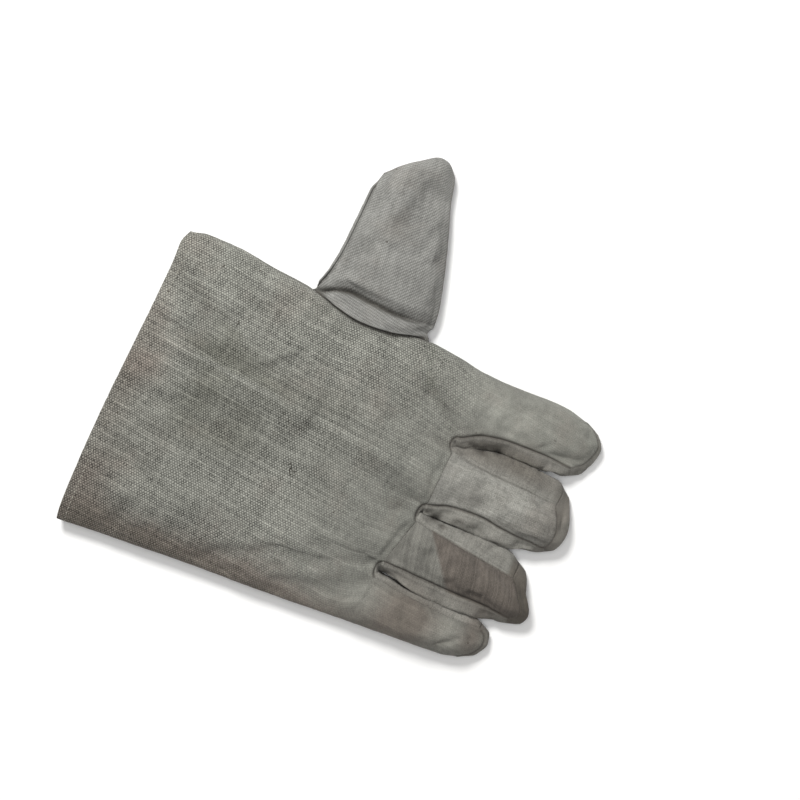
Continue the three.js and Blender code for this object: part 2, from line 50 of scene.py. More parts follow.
HAND = dict(
    y=[0, 12, 32, 52, 73, 89, 104, 118, 139, 157, 172],
    left=[-83.0, -85.0, -84.6, -82.2, -80.4, -74.4, -72.0, -73.2, -78.6, -77.0, -74.5],
    right=[80.0, 79.2, 77.6, 76.4, 75.1, 74.2, 73.4, 72.6, 71.2, 70.2, 69.6],
    crown=[21.5, 22.5, 24.0, 25.5, 26.0, 26.0, 25.5, 24.5, 22.5, 20.5, 19.5],
)
HOLE_FROM, HOLE_TO, HOLE_RISE, HOLE_DROP = 73.0, 139.0, 5.6, 4.6
CUFF_LINE = dict(x=[-84, -72, -58, -26, 23, 80], y=[2.2, 2.8, 3.2, 2.0, -0.5, -1.5])
CUFF_LINE_FADE = 46.0

FINGERS = [
    dict(
        name="index", rootL=172.0, rootR=171.6, setback=0.8,
        y=[171, 182, 196, 211, 228, 240],
        left=[-74.5, -74.0, -74.3, -75.0, -73.6, -71.0],
        seamL=[-74.5, -74.0, -74.3, -75.0, -73.6, -71.0],
        seamR=[-38.6, -44.4, -46.8, -47.0, -46.2, -45.8],
        right=[-34.4, -36.8, -40.0, -40.1, -40.0, -39.8],
        height=[19.0, 18.6, 18.0, 17.4, 15.4, 12.6],
        tip=([0, 0.12, 0.4, 0.8, 1], [225.0, 236.6, 240.9, 237.5, 231.4]),
    ),
    dict(
        name="middle", rootL=171.6, rootR=170.2, setback=4.4,
        y=[170, 182, 196, 211, 228, 240],
        left=[-33.4, -36.0, -39.2, -39.4, -39.6, -38.6],
        seamL=[-31.2, -28.8, -27.2, -27.1, -26.2, -25.0],
        seamR=[-0.9, -4.4, -6.0, -3.9, -2.6, -3.0],
        right=[3.6, 3.7, 3.6, 3.6, 2.4, -0.4],
        height=[19.0, 18.8, 18.2, 17.6, 15.8, 13.0],
        tip=([0, 0.22, 0.56, 0.88, 1], [232.4, 238.4, 241.2, 238.8, 235.4]),
    ),
    dict(
        name="ring", rootL=168.4, rootR=161.0, setback=3.8,
        y=[162, 182, 196, 211, 228, 240],
        left=[4.9, 4.5, 4.4, 4.4, 5.4, 8.0],
        seamL=[8.6, 11.0, 13.0, 14.8, 16.4, 17.4],
        seamR=[34.9, 35.2, 35.5, 35.8, 36.5, 36.6],
        right=[39.6, 42.8, 43.6, 42.8, 42.0, 41.6],
        height=[18.6, 18.4, 17.8, 17.2, 15.2, 12.6],
        tip=([0, 0.12, 0.36, 0.70, 0.88, 1], [225.6, 231.2, 235.2, 239.2, 237.8, 231.4]),
    ),
    dict(
        name="little", rootL=160.6, rootR=158.6, setback=1.2,
        y=[160, 182, 196, 212, 226],
        left=[40.8, 43.6, 44.2, 43.0, 43.0],
        seamL=[43.8, 46.4, 47.2, 47.0, 46.8],
        seamR=[70.1, 68.6, 68.0, 67.2, 66.0],
        right=[70.1, 68.6, 68.0, 67.2, 66.0],
        height=[18.0, 17.6, 17.0, 15.0, 12.4],
        tip=([0, 0.12, 0.36, 0.72, 1], [219.6, 224.6, 226.0, 222.8, 213.0]),
    ),
]
THUMB = dict(
    x=[-71, -78.8, -81.5, -85.5, -92, -104, -118, -135, -148, -160, -170],
    low=[73.0, 73.4, 74.3, 76.2, 78.4, 80.6, 81.4, 81.9, 82.2, 84.8, 88.0],
    high=[139.4, 139.0, 136.8, 138.8, 138.4, 135.8, 131.9, 126.4, 122.0, 119.6, 118.0],
    height=[17.0, 16.0, 15.2, 14.6, 17.6, 19.0, 18.2, 16.6, 14.8, 13.0, 11.6],
)
THUMB_TIP = ([0, 0.16, 0.36, 0.64, 0.86, 1], [-149.6, -157.0, -163.6, -169.8, -168.6, -161.6])

# Soft valleys in the palm: x0, y0, x1, y1, half width, depth (a negative depth is a ridge).
FOLDS = [
    (-77, 140, -52, 150, 5, 2.6),
    (-52, 150, -40, 168, 5, 2.4),
    (-66, 8, -32, 41, 8, 2.4),
    (-3, 46, 1, 94, 10, 1.8),
    (-20, 52, -17, 95, 6, -1.5),
    (30, 18, 64, 78, 9, 1.0),
    (18, 140, 40, 158, 7, 0.7),
    (-50, 60, -58, 120, 9, -1.0),
    (20, 96, -20, 132, 10, 1.2),
    (44, 90, 60, 130, 9, 0.5),
]


# ---------------------------------------------------------------- curves through the tables
def curve(xs, ys):
    """A smooth curve through a table's points that never overshoots them."""
    x = np.asarray(xs, float)
    y = np.asarray(ys, float)
    if x[-1] < x[0]:
        x, y = x[::-1], y[::-1]
    h = np.diff(x)
    d = np.diff(y) / h
    m = np.zeros(len(x))
    for i in range(1, len(x) - 1):
        m[i] = 0 if d[i - 1] * d[i] <= 0 else 2 * d[i - 1] * d[i] / (d[i - 1] + d[i])

    def f(a):
        a = np.clip(np.asarray(a, float), x[0], x[-1])
        i = np.clip(np.searchsorted(x, a, side="right") - 1, 0, len(h) - 1)
        u = (a - x[i]) / h[i]
        return (
            (2 * u**3 - 3 * u**2 + 1) * y[i]
            + (u**3 - 2 * u**2 + u) * m[i] * h[i]
            + (-2 * u**3 + 3 * u**2) * y[i + 1]
            + (u**3 - u**2) * m[i + 1] * h[i]
        )

    return f


def mix(a, b, t):
    return a + (b - a) * t


def smooth(t):
    t = np.clip(t, 0, 1)
    return t * t * (3 - 2 * t)


hand = {k: curve(HAND["y"], HAND[k]) for k in ("left", "right", "crown")}
cuff_line = curve(CUFF_LINE["x"], CUFF_LINE["y"])
thumb = {k: curve(THUMB["x"], THUMB[k]) for k in ("low", "high", "height")}
thumb_tip = curve(*THUMB_TIP)
for f in FINGERS:
    f["at"] = {k: curve(f["y"], f[k]) for k in ("left", "right", "seamL", "seamR", "height")}
    f["reach"] = curve(*f["tip"])
    f["plainL"] = f["name"] == "index"
    f["plainR"] = f["name"] == "little"


def dent(x, y):
    total = np.zeros(np.broadcast(x, y).shape)
    for x0, y0, x1, y1, width, depth in FOLDS:
        dx, dy = x1 - x0, y1 - y0
        t = np.clip(((x - x0) * dx + (y - y0) * dy) / (dx * dx + dy * dy), 0, 1)
        d = np.hypot(x - x0 - t * dx, y - y0 - t * dy)
        total = total + 1.4 * depth * np.exp(-((d / width) ** 2))
    return total


def spaced(length, fine, coarse, ends=(True, True), grow=1.32):
    """Shares from 0 to 1 of a stretch, closer together near the ends that are seams."""
    a, b = [], []
    step = fine
    if ends[0]:
        while step < coarse and sum(a) + step < length / 2:
            a.append(step)
            step *= grow
    step = fine
    if ends[1]:
        while step < coarse and sum(b) + step < length / 2:
            b.append(step)
            step *= grow
    rest = length - sum(a) - sum(b)
    n = max(1, round(rest / coarse))
    steps = np.array(a + [rest / n] * n + b[::-1])
    at = np.concatenate([[0], np.cumsum(steps)])
    return at / at[-1]


# ---------------------------------------------------------------- the net of the skin
FRONT_PIECE = ["palm_panel", "middle_finger_front", "ring_finger_front", "palm_panel"]
GUSSET = ["gusset_index_middle", "gusset_middle_ring", "gusset_ring_little"]


def lengths(P, axis):
    """Distance run along an axis of a grid of points."""
    d = np.linalg.norm(np.diff(P, axis=axis), axis=2)
    z = np.zeros_like(np.take(d, [0], axis=axis))
    return np.concatenate([z, np.cumsum(d, axis=axis)], axis=axis)


def section(f, y):
    h = f["at"]["height"](y)
    low = np.minimum(SIDE_SEAM_Z, h * 0.45)
    return dict(
        left=f["at"]["left"](y), right=f["at"]["right"](y),
        seamL=f["at"]["seamL"](y), seamR=f["at"]["seamR"](y), height=h,
        topL=low if f["plainL"] else h - 3.4, topR=low if f["plainR"] else h - 3.4,
        footL=0.0 if f["plainL"] else 1.3, footR=0.0 if f["plainR"] else 1.3,
    )


def front_z(f, s, share):
    edge = mix(s["topL"], s["topR"], share)
    off = np.abs(2 * share - 1)
    plain = np.where(share < 0.5, f["plainL"], f["plainR"])
    return edge + (s["height"] - edge) * (1 - off ** np.where(plain, 4.0, 2.6))


def back_z(f, s, share):
    off = np.abs(2 * share - 1)
    plain = np.where(share < 0.5, f["plainL"], f["plainR"])
    edge = np.where(plain, np.where(share < 0.5, s["topL"], s["topR"]), GUSSET_FOOT_Z)
    lift = np.clip((off - 0.72) / 0.28, 0, 1)
    return edge * lift ** np.where(plain, 2.6, 1.8)


def swing(t, at=0.66):
    """How far a side strip has swung out to its outline, at a share of its drop."""
    return np.sin(math.pi / 2 * np.clip(t / at, 0, 1)) ** 0.9


class Skin:
    """The glove's outer surface as a net of points. fine and coarse are its spacing at the seams and between them,
    crotch the number of columns between two fingers. A grid keeps the place of its rows and columns in a scale that
    doesn't depend on the spacing, so that one net's shape can be read off on another."""

    def __init__(self, fine, coarse, crotch, strip, fold):
        self.blocks, self.count, self.grids, self.seams = [], 0, [], {}
        self.across = [spaced(w, fine, coarse) for w in (34, 26, 24, 24)]
        self.along = spaced(66, fine, coarse)
        self.crotch = crotch
        self.side = spaced(15, fine, strip)
        self.t_across = spaced(64, fine, coarse)
        near = spaced(17, fine, fold, (True, False)) * 17 / 90  # the crease of the thumb lies in this part
        rest = 17 / 90 + spaced(73, fine, coarse, (False, True))[1:] * 73 / 90
        self.t_along = np.concatenate([near, rest])
        self.hand(fine, coarse)
        self.fingers()
        self.turns()
        self.thumb()
        self.v = np.concatenate(self.blocks)
        self.quads = np.concatenate([quads(g["idx"]) for g in self.grids])

    def add(self, x, y, z):
        x, y, z = np.broadcast_arrays(x, y, z)
        self.blocks.append(np.stack([x.ravel(), y.ravel(), z.ravel()], 1).astype(float))
        idx = np.arange(self.count, self.count + x.size).reshape(x.shape)
        self.count += x.size
        return idx

    def pts(self, idx):
        return np.concatenate(self.blocks)[idx]

    def grid(self, piece, idx, cloth, rows, cols, flip=False):
        if flip:
            idx, cloth, rows = idx[::-1], cloth[::-1], np.asarray(rows)[::-1]
        self.grids.append(dict(piece=piece, idx=idx, cloth=cloth, rows=np.asarray(rows), cols=np.asarray(cols)))

    def seam(self, kind, idx):
        self.seams.setdefault(kind, []).append(np.asarray(idx).ravel())

    # the hand: palm and back, with a column for each of the fingers' columns and for the crotches between them
    def root_columns(self, front):
        cols, ends, place = [], [], []
        self.spans = []
        for f, across in zip(FINGERS, self.across):
            y = mix(f["rootL"], f["rootR"], across)
            s = section(f, y)
            x0 = s["seamL"] if front else s["left"] + s["footL"]
            x1 = s["seamR"] if front else s["right"] - s["footR"]
            z = front_z(f, s, across) if front else back_z(f, s, across)
            ends.append(np.stack([mix(x0, x1, across), y, z], 1))
        for g, e in enumerate(ends):
            self.spans.append((sum(len(c) for c in cols), len(e)))
            cols.append(e)
            place.append(2 * g + self.across[g])
            if g < 3:
                a, b = e[-1], ends[g + 1][0]
                t = np.arange(1, self.crotch + 1) / (self.crotch + 1)
                dip = 2.6 if front else 1.2
                ramp = (1 - np.cos(math.pi * t)) / 2
                c = mix(a[None], b[None], ramp[:, None])
                c[:, 1] = mix(a[1], b[1], t) - dip * np.sin(math.pi * t)
                c[:, 2] -= (0.8 if front else 0.0) * np.sin(math.pi * t)
                cols.append(c)
                place.append(2 * g + 1 + t)
        self.col_place = np.concatenate(place)
        return np.concatenate(cols)

    def hand_grid(self, front):
        root = self.root_f if front else self.root_b
        up = self.row_up[:, None]
        y = mix(self.row_y[:, None], root[None, :, 1], up)
        left, right, crown = hand["left"](y), hand["right"](y), hand["crown"](y)
        share = ((root[:, 0] - root[0, 0]) / (root[-1, 0] - root[0, 0]))[None]
        x = mix(left, right, share)
        slant = cuff_line(x) * smooth(1 - y / CUFF_LINE_FADE)
        slant = slant + 2.2 * smooth((-x - 75) / 9) * smooth(1 - y / 10)  # the cuff's rounded corner
        off = np.abs(2 * share - 1)
        w = smooth((y - 118) / 52)
        rows = np.arange(len(self.row_y))[:, None]
        in_hole = (rows > self.h0) & (rows < self.h1)
        opening = np.sqrt(np.clip(np.sin(math.pi * (y - HOLE_FROM) / (HOLE_TO - HOLE_FROM)), 0, 1))
        near = smooth((0.35 - share) / 0.35)
        edge = SIDE_SEAM_Z + in_hole * near * opening * (HOLE_RISE if front else -HOLE_DROP)
        if front:
            dome = edge + (crown - edge) * np.maximum(0, 1 - off**3) ** 0.55
            rim = np.where(off > 0.999, 0, dent(x, y)) * smooth((1 - off) * 12)
            z = mix(dome, root[None, :, 2], np.maximum(w * w, smooth((up - 0.25) / 0.75))) - rim * (1 - w * w * 0.5) * (1 - up**4)
        else:
            lift = np.clip((off - 0.9) / 0.1, 0, 1)
            z = mix(edge * lift**1.8, root[None, :, 2], np.maximum(w**6, smooth((up - 0.25) / 0.75)))
        last = self.row_up == 1
        X, Y, Z = x.copy(), (y + slant), z
        X[last], Y[last], Z[last] = root[:, 0], root[:, 1], root[:, 2]
        return X, Y, Z

    def hand(self, fine, coarse):
        self.root_f = self.root_columns(True)
        self.root_b = self.root_columns(False)
        low = spaced(HOLE_FROM, fine, coarse, (True, False))[:-1]
        up = spaced(33, fine, coarse, (False, True))[1:]
        hole = self.t_across
        self.row_y = np.concatenate([HOLE_FROM * low, mix(HOLE_FROM, HOLE_TO, hole), np.full(len(up), HOLE_TO)])
        self.row_up = np.concatenate([np.zeros(len(low) + len(hole)), up])
        self.row_place = np.concatenate([low, 1 + hole, 2 + up])
        self.h0, self.h1 = len(low), len(low) + len(hole) - 1
        palm = self.add(*self.hand_grid(True))
        back = self.add(*self.hand_grid(False))
        rows = np.arange(len(self.row_y))
        shared = ~((rows > self.h0) & (rows < self.h1))
        back[:, -1] = palm[:, -1]
        back[shared, 0] = palm[shared, 0]
        self.palm, self.back = palm, back
        self.cloths = []
        for piece, idx, flip in (("palm_panel", palm, False), ("back_panel", back, True)):
            P = self.pts(idx)
            u = lengths(P, 1)
            m = np.argmin(np.abs(P[0, :, 0]))
            cloth = np.stack([u - u[:, m : m + 1] + P[:, m : m + 1, 0], P[:, :, 1]], 2)
            self.cloths.append(cloth)
            self.grid(piece, idx, cloth, self.row_place, self.col_place, flip)
        self.seam("side", palm[:, -1])
        self.seam("side", palm[np.nonzero(shared)[0], 0])

    def fingers(self):
        self.sides = []
        A = self.along[:, None]
        for g, f in enumerate(FINGERS):
            first, n = self.spans[g]
            S = self.across[g][None]
            inner = 1 - np.abs(2 * S - 1) ** 4
            y0 = mix(f["rootL"], f["rootR"], S)
            tip = f["reach"](S)
            yf = mix(y0, tip - f["setback"] * inner, A)
            yb = mix(y0, tip - 1.6 * inner, A)
            sf, sb = section(f, yf), section(f, yb)
            # towards the tip the front rounds down to its end
            zf = front_z(f, sf, S) - 1.1 * A**14 * inner
            if f["plainL"] or f["plainR"]:
                low = sf["topL"] if f["plainL"] else sf["topR"]
                from_gusset = (1 - S if f["plainL"] else S)
                zf = zf - (zf - low) * 0.8 * A**11 * (1 - (1 - from_gusset) ** 8)
            F = self.add(mix(sf["seamL"], sf["seamR"], S), yf, zf)
            B = self.add(mix(sb["left"] + sb["footL"], sb["right"] - sb["footR"], S), yb, back_z(f, sb, S) + 1.4 * A**6)
            F[0] = self.palm[-1, first : first + n]
            B[0] = self.back[-1, first : first + n]
            if f["plainL"]:
                B[:, 0] = F[:, 0]
            if f["plainR"]:
                B[:, -1] = F[:, -1]
            PF, PB = self.pts(F), self.pts(B)

            def cloth(Pg, base):
                u = lengths(Pg, 1)
                m = n // 2
                middle = Pg[:, m : m + 1, 0] - Pg[0, m, 0] + base[m, 0]
                return np.stack([u - u[:, m : m + 1] + middle, lengths(Pg, 0) + base[None, :, 1]], 2)

            cf = cloth(PF, self.cloths[0][-1, first : first + n])
            cb = cloth(PB, self.cloths[1][-1, first : first + n])
            self.grid(FRONT_PIECE[g], F, cf, 10 + self.along, S[0])
            self.grid("back_panel", B, cb, 10 + self.along, S[0], True)
            strips = []
            for j, key in ((0, "left"), (-1, "right")):
                if f["plainL" if j == 0 else "plainR"]:
                    strips.append(None)
                    continue
                top, foot = PF[:, j], PB[:, j]
                out = f["at"][key](top[:, 1])
                t = self.side[None, :]
                x = mix(top[:, :1], out[:, None], swing(t))
                x = x - (out - foot[:, 0])[:, None] * np.clip((t - 0.66) / 0.34, 0, 1) ** 2
                full = np.sqrt(1 - 0.9 * np.clip((self.along[:, None] - 0.9) / 0.1, 0, 1) ** 2)
                x = mix(mix(top[:, :1], foot[:, :1], t), x, full)  # narrower towards the tip
                G = self.add(x, mix(top[:, 1:2], foot[:, 1:2], t), mix(top[:, 2:3], foot[:, 2:3], t))
                G[:, 0], G[:, -1] = F[:, j], B[:, j]
                strips.append(G)
            L, R = strips
            self.sides.append((L, R))
            # the end of the finger
            t = self.side[None, :]
            top, foot = PF[-1][:, None], PB[-1][:, None]
            share = self.across[g]
            corner = np.abs(2 * share - 1)[:, None] ** 6
            reach = tip.ravel()[:, None] + 0.9
            y = mix(top[..., 1], reach, swing(t)) - (reach - foot[..., 1]) * np.clip((t - 0.66) / 0.34, 0, 1) ** 2
            x = mix(top[..., 0], foot[..., 0], t)
            for j, G in ((0, L), (-1, R)):
                if G is not None:
                    base = mix(top[j, 0, 0], foot[j, 0, 0], self.side)
                    w = corner * ((share < 0.5) if j == 0 else (share >= 0.5))[:, None]
                    x = x + (self.pts(G)[-1][:, 0] - base)[None] * w
            cap = self.add(x, y, mix(top[..., 2], foot[..., 2], t))
            cap[:, 0], cap[:, -1] = F[-1], B[-1]
            cap[0] = L[-1] if L is not None else F[-1, 0]
            cap[-1] = R[-1] if R is not None else F[-1, -1]
            drop = lengths(self.pts(cap), 1)
            cc = np.stack([np.repeat(cb[-1, :, :1], len(self.side), 1), cb[-1, :, 1:] + (drop[:, -1:] - drop)], 2)
            self.grid("back_panel", cap, cc, share, 20 + self.side, True)
            if g in (1, 2):
                self.seam("root", F[0])
            self.seam("tip", F[-1])
            for j, G, kind in ((0, L, "upper"), (-1, R, "lower")):
                if G is None:
                    self.seam("side", F[:, j])
                    self.seam("end", [F[-1, j]])
                else:
                    self.seam(kind, F[:, j])
                    self.seam("foot", B[:, j])
                    self.seam("end", G[-1])

    def turns(self):
        for g in range(3):
            a, b = self.sides[g][1], self.sides[g + 1][0]
            first, n = self.spans[g]
            cols = np.arange(first + n, first + n + self.crotch)
            t = (np.arange(1, self.crotch + 1) / (self.crotch + 1))[:, None]
            pa, pb = self.pts(a)[0][None], self.pts(b)[0][None]
            dip = np.interp(self.side, [0, 0.28, 0.66, 1], [2.6, 0.4, 0.3, 1.2])[None]
            x = mix(pa[..., 0], pb[..., 0], (1 - np.cos(math.pi * t)) / 2)
            y = mix(pa[..., 1], pb[..., 1], t) - dip * np.sin(math.pi * t)
            z = mix(pa[..., 2], pb[..., 2], t) - 0.8 * np.sin(math.pi * t) * (1 - self.side[None, :])
            M = self.add(x, y, z)
            M[:, 0], M[:, -1] = self.palm[-1, cols], self.back[-1, cols]
            whole = np.concatenate([a[::-1], M, b])  # tip of one finger, round the crotch, to the tip of the next
            P = self.pts(whole)
            k = len(self.side) // 2
            cloth = np.stack([lengths(P, 1), np.repeat(lengths(P[:, k : k + 1], 0), len(self.side), 1)], 2)
            place = np.concatenate([1 - self.along[::-1], 1 + t[:, 0], 2 + self.along])
            self.grid(GUSSET[g], whole, cloth, place, 20 + self.side, True)
            self.seam("crotch", self.palm[-1, cols])
            self.seam("foot", self.back[-1, cols])

    # the thumb stall: two halves that meet all round in one seam
    def thumb(self):
        A, S = self.t_along[:, None], self.t_across[None]
        root = self.pts(self.palm[self.h0 : self.h1 + 1, 0])
        rootb = self.pts(self.back[self.h0 : self.h1 + 1, 0])
        tip = thumb_tip(S)
        x = mix(root[None, :, 0], tip, A)
        y = mix(thumb["low"](x), thumb["high"](x), S)
        h = thumb["height"](x)
        off = np.abs(2 * S - 1)
        seam_z = np.minimum(SIDE_SEAM_Z, h * 0.45)
        roll = smooth((-x - 79) / 6) * (1 - smooth((A - 0.80) / 0.20))  # where the seam lies up on top of the thumb
        edge_z = np.where(S < 0.5, mix(seam_z, h * 0.66, roll), seam_z)
        end = 1 - A**16
        zf = edge_z + (h - edge_z) * (1 - off ** np.where((S < 0.5) & (roll > 0.2), 5.0, 3.6)) * end
        F = self.add(x, y + 0.2 * roll * np.clip(1 - S / 0.04, 0, 1), zf)
        lift = np.clip((off - 0.74) / 0.26, 0, 1) ** 2.2
        lift = 1 - (1 - lift) * (1 - A**22)
        fade = (1 - np.clip(A / 0.12, 0, 1)) ** 2
        zb = mix(seam_z * lift, rootb[None, :, 2], fade)
        q = S / 0.16  # the back's first stretch turns up over the edge and lies there as a bead
        bead_y = np.interp(q, [0, 0.08, 0.18, 0.30, 0.44, 0.60, 0.80, 1], [0.2, -0.3, -1.0, -1.5, -1.4, -0.5, 2.2, 7.4])
        bead_z = np.interp(q, [0, 0.08, 0.18, 0.30, 0.44, 0.60, 0.80, 1], [0.66, 0.71, 0.70, 0.62, 0.50, 0.32, 0.13, 0.0])
        bead_y = np.where(q > 0.6, bead_y + (y - y[:, :1] - 7.4) * np.clip((q - 0.6) / 0.4, 0, 1), bead_y)
        yb = np.where(S < 0.16, mix(y, y[:, :1] + bead_y, roll), y)
        zb = np.where(S < 0.16, mix(zb, h * bead_z, roll), zb)
        B = self.add(x, yb, zb)
        F[0] = self.palm[self.h0 : self.h1 + 1, 0]
        B[0] = self.back[self.h0 : self.h1 + 1, 0]
        B[:, 0], B[:, -1], B[-1] = F[:, 0], F[:, -1], F[-1]
        for piece, G, flip in (("thumb_front", F, False), ("thumb_back", B, True)):
            P = self.pts(G)
            u = lengths(P, 1)
            m = P.shape[1] // 2
            cloth = np.stack([u - u[:, m : m + 1] + P[:, m : m + 1, 1], -P[:, :, 0]], 2)
            self.grid(piece, G, cloth, self.t_along, self.t_across, flip)
        self.seam("thumb", self.palm[self.h0 : self.h1 + 1, 0])
        self.seam("thumb", self.back[self.h0 : self.h1 + 1, 0])
        self.seam("rolled", F[1:, 0])
        self.seam("side", F[:, -1])
        self.seam("end", F[-1])

    def normals(self, v):
        q = self.quads
        n = np.cross(v[q[:, 2]] - v[q[:, 0]], v[q[:, 3]] - v[q[:, 1]])
        out = np.zeros_like(v)
        for k in range(4):
            np.add.at(out, q[:, k], n)
        return out / np.maximum(np.linalg.norm(out, axis=1, keepdims=True), 1e-12)

    def soften(self, field, times, keep=None):
        """Averages a field of the points over their neighbours."""
        q = self.quads
        e = np.concatenate([q[:, [0, 1]], q[:, [1, 2]], q[:, [2, 3]], q[:, [3, 0]]])
        e = np.unique(np.sort(e[e[:, 0] != e[:, 1]], 1), axis=0)
        n = np.bincount(e.ravel(), minlength=len(field))[:, None]
        out = field.copy()
        for _ in range(times):
            total = np.zeros_like(out)
            np.add.at(total, e[:, 0], out[e[:, 1]])
            np.add.at(total, e[:, 1], out[e[:, 0]])
            new = mix(out, total / np.maximum(n, 1), 0.6)
            out = new if keep is None else mix(new, out, keep[:, None])
        return out


def quads(idx):
    return np.stack([idx[:-1, :-1], idx[:-1, 1:], idx[1:, 1:], idx[1:, :-1]], 2).reshape(-1, 4)


def weights(to, at):
    """A matrix that reads values kept at the places at, in rising or falling order, off at the places to."""
    order = np.argsort(at, kind="stable")
    a = np.asarray(at)[order]
    i = np.clip(np.searchsorted(a, to, side="right") - 1, 0, len(a) - 2)
    t = np.clip((to - a[i]) / np.maximum(a[i + 1] - a[i], 1e-9), 0, 1)
    W = np.zeros((len(to), len(a)))
    W[np.arange(len(to)), order[i]] += 1 - t
    W[np.arange(len(to)), order[i + 1]] += t
    return W


def carry(coarse, field, fine):
    """A field of the coarse net's points, read off at the fine net's points."""
    out = np.zeros((len(fine.v), field.shape[1]))
    n = np.zeros(len(fine.v))
    for a, b in zip(coarse.grids, fine.grids):
        Wr, Wc = weights(b["rows"], a["rows"]), weights(b["cols"], a["cols"])
        value = np.einsum("ri,ijk,cj->rck", Wr, field[a["idx"]], Wc, optimize=True)
        np.add.at(out, b["idx"].ravel(), value.reshape(-1, field.shape[1]))
        np.add.at(n, b["idx"].ravel(), 1)
    return out / np.maximum(n, 1)[:, None]


# ---------------------------------------------------------------- the cloth settles
def tree_of(points):
    tree = kdtree.KDTree(len(points))
    for i, p in enumerate(points):
        tree.insert(p, i)
    tree.balance()
    return tree


def settle(net, frames=16, pressure=3.0, gather=0.06, slack=0.02):
    """Blows the skin up a little while its seams draw together, and gives how far each point moved, in mm."""
    faces = []
    for q in net.quads.tolist():
        ring = [k for n, k in enumerate(q) if k not in q[:n]]
        if len(ring) > 2:
            faces.append(ring)
    mesh = bpy.data.meshes.new("settling")
    mesh.from_pydata((net.v * MM).tolist(), [], faces)
    obj = bpy.data.objects.new("settling", mesh)
    scene = bpy.context.scene
    scene.collection.objects.link(obj)
    drawn, held = obj.vertex_groups.new(name="drawn"), obj.vertex_groups.new(name="held")
    on_seam = np.unique(np.concatenate([part for parts in net.seams.values() for part in parts]))
    tree = tree_of(net.v[on_seam])
    for i, p in enumerate(net.v):
        drawn.add([i], math.exp(-((tree.find(p)[2] / 3.2) ** 2)), "REPLACE")
        hold = max(0.9 * float(smooth(np.array(1.6 - p[1] / 14))), 0.6 if p[2] < 1.2 else 0.0)
        if hold > 0:
            held.add([i], min(hold, 0.9), "REPLACE")
    cloth = obj.modifiers.new("cloth", "CLOTH")
    c = cloth.settings
    c.quality = 5
    c.mass = 0.15
    c.tension_stiffness = c.compression_stiffness = 10
    c.shear_stiffness = 3
    c.bending_stiffness = 0.35
    c.use_pressure = True
    c.uniform_pressure_force = pressure
    c.vertex_group_mass = "held"
    c.pin_stiffness = 1.0
    c.vertex_group_shrink = "drawn"
    c.shrink_min, c.shrink_max = -slack, gather
    c.effector_weights.gravity = 0
    cloth.collision_settings.use_collision = False
    scene.frame_start, scene.frame_end = 1, frames
    for k in range(1, frames + 1):
        scene.frame_set(k)
    done = obj.evaluated_get(bpy.context.evaluated_depsgraph_get())
    co = np.empty(len(net.v) * 3, np.float32)
    done.data.vertices.foreach_get("co", co)
    bpy.data.objects.remove(obj)
    bpy.data.meshes.remove(mesh)
    scene.frame_set(1)
    return co.reshape(-1, 3).astype(float) / MM - net.v


loose = Skin(2.3, 2.3, 3, 2.3, 2.3)
net = Skin(0.5, 1.35, 7, 0.8, 0.6)
moved = settle(loose)
broad = loose.soften(moved, 40)
moved = 1.15 * (moved - broad) + broad * np.array([0.2, 0.2, 0.5])
far = np.linalg.norm(moved, axis=1, keepdims=True)
moved *= 3.6 * np.tanh(far / 3.6) / np.maximum(far, 1e-9)
moved = carry(loose, moved, net)


def near_to(kinds, points):
    """Distance from each point to the nearest seam of these kinds."""
    tree = tree_of(net.v[np.unique(np.concatenate([part for k in kinds for part in net.seams[k]]))])
    return np.array([tree.find(p)[2] for p in points])


off_seam = near_to(net.seams, net.v)
moved *= (0.45 + 0.55 * smooth(off_seam / 4.5))[:, None]
moved[:, :2] *= (0.25 + 0.75 * smooth(near_to(["side", "thumb"], net.v) / 10))[:, None]  # the outline stays smooth
moved *= (0.5 + 0.5 * smooth(near_to(["end", "tip"], net.v) / 8))[:, None]
off_roll = near_to(["rolled"], net.v)
moved *= (0.08 + 0.92 * smooth((off_roll - 2.5) / 6))[:, None]
skin = net.v + moved


def members(*pieces):
    out = np.zeros(len(skin), bool)
    for g in net.grids:
        if g["piece"] in pieces:
            out[g["idx"].ravel()] = True
    return out


# neighbouring fingers meet half way between them
for g, piece in enumerate(GUSSET):
    a, b = FINGERS[g]["at"]["right"], FINGERS[g + 1]["at"]["left"]
    strip = next(q for q in net.grids if q["piece"] == piece)
    for part, side in ((strip["rows"] <= 1, -1), (strip["rows"] >= 2, 1)):
        i = strip["idx"][part]
        full = 2.0 * np.sin(math.pi * np.clip(strip["cols"] - 20, 0, 1)) ** 0.8
        if g == 2:  # the last two fingers lie closer together
            full = 1.9 * full
        skin[i, 0] -= side * full[None] * (1 - smooth((skin[i, 1] - 212) / 12))
        i = np.unique(i)
        half = (a(skin[i, 1]) + b(skin[i, 1])) / 2 + 0.08 * side
        over = np.maximum(0, (half - skin[i, 0]) * side)
        skin[i, 0] += side * over

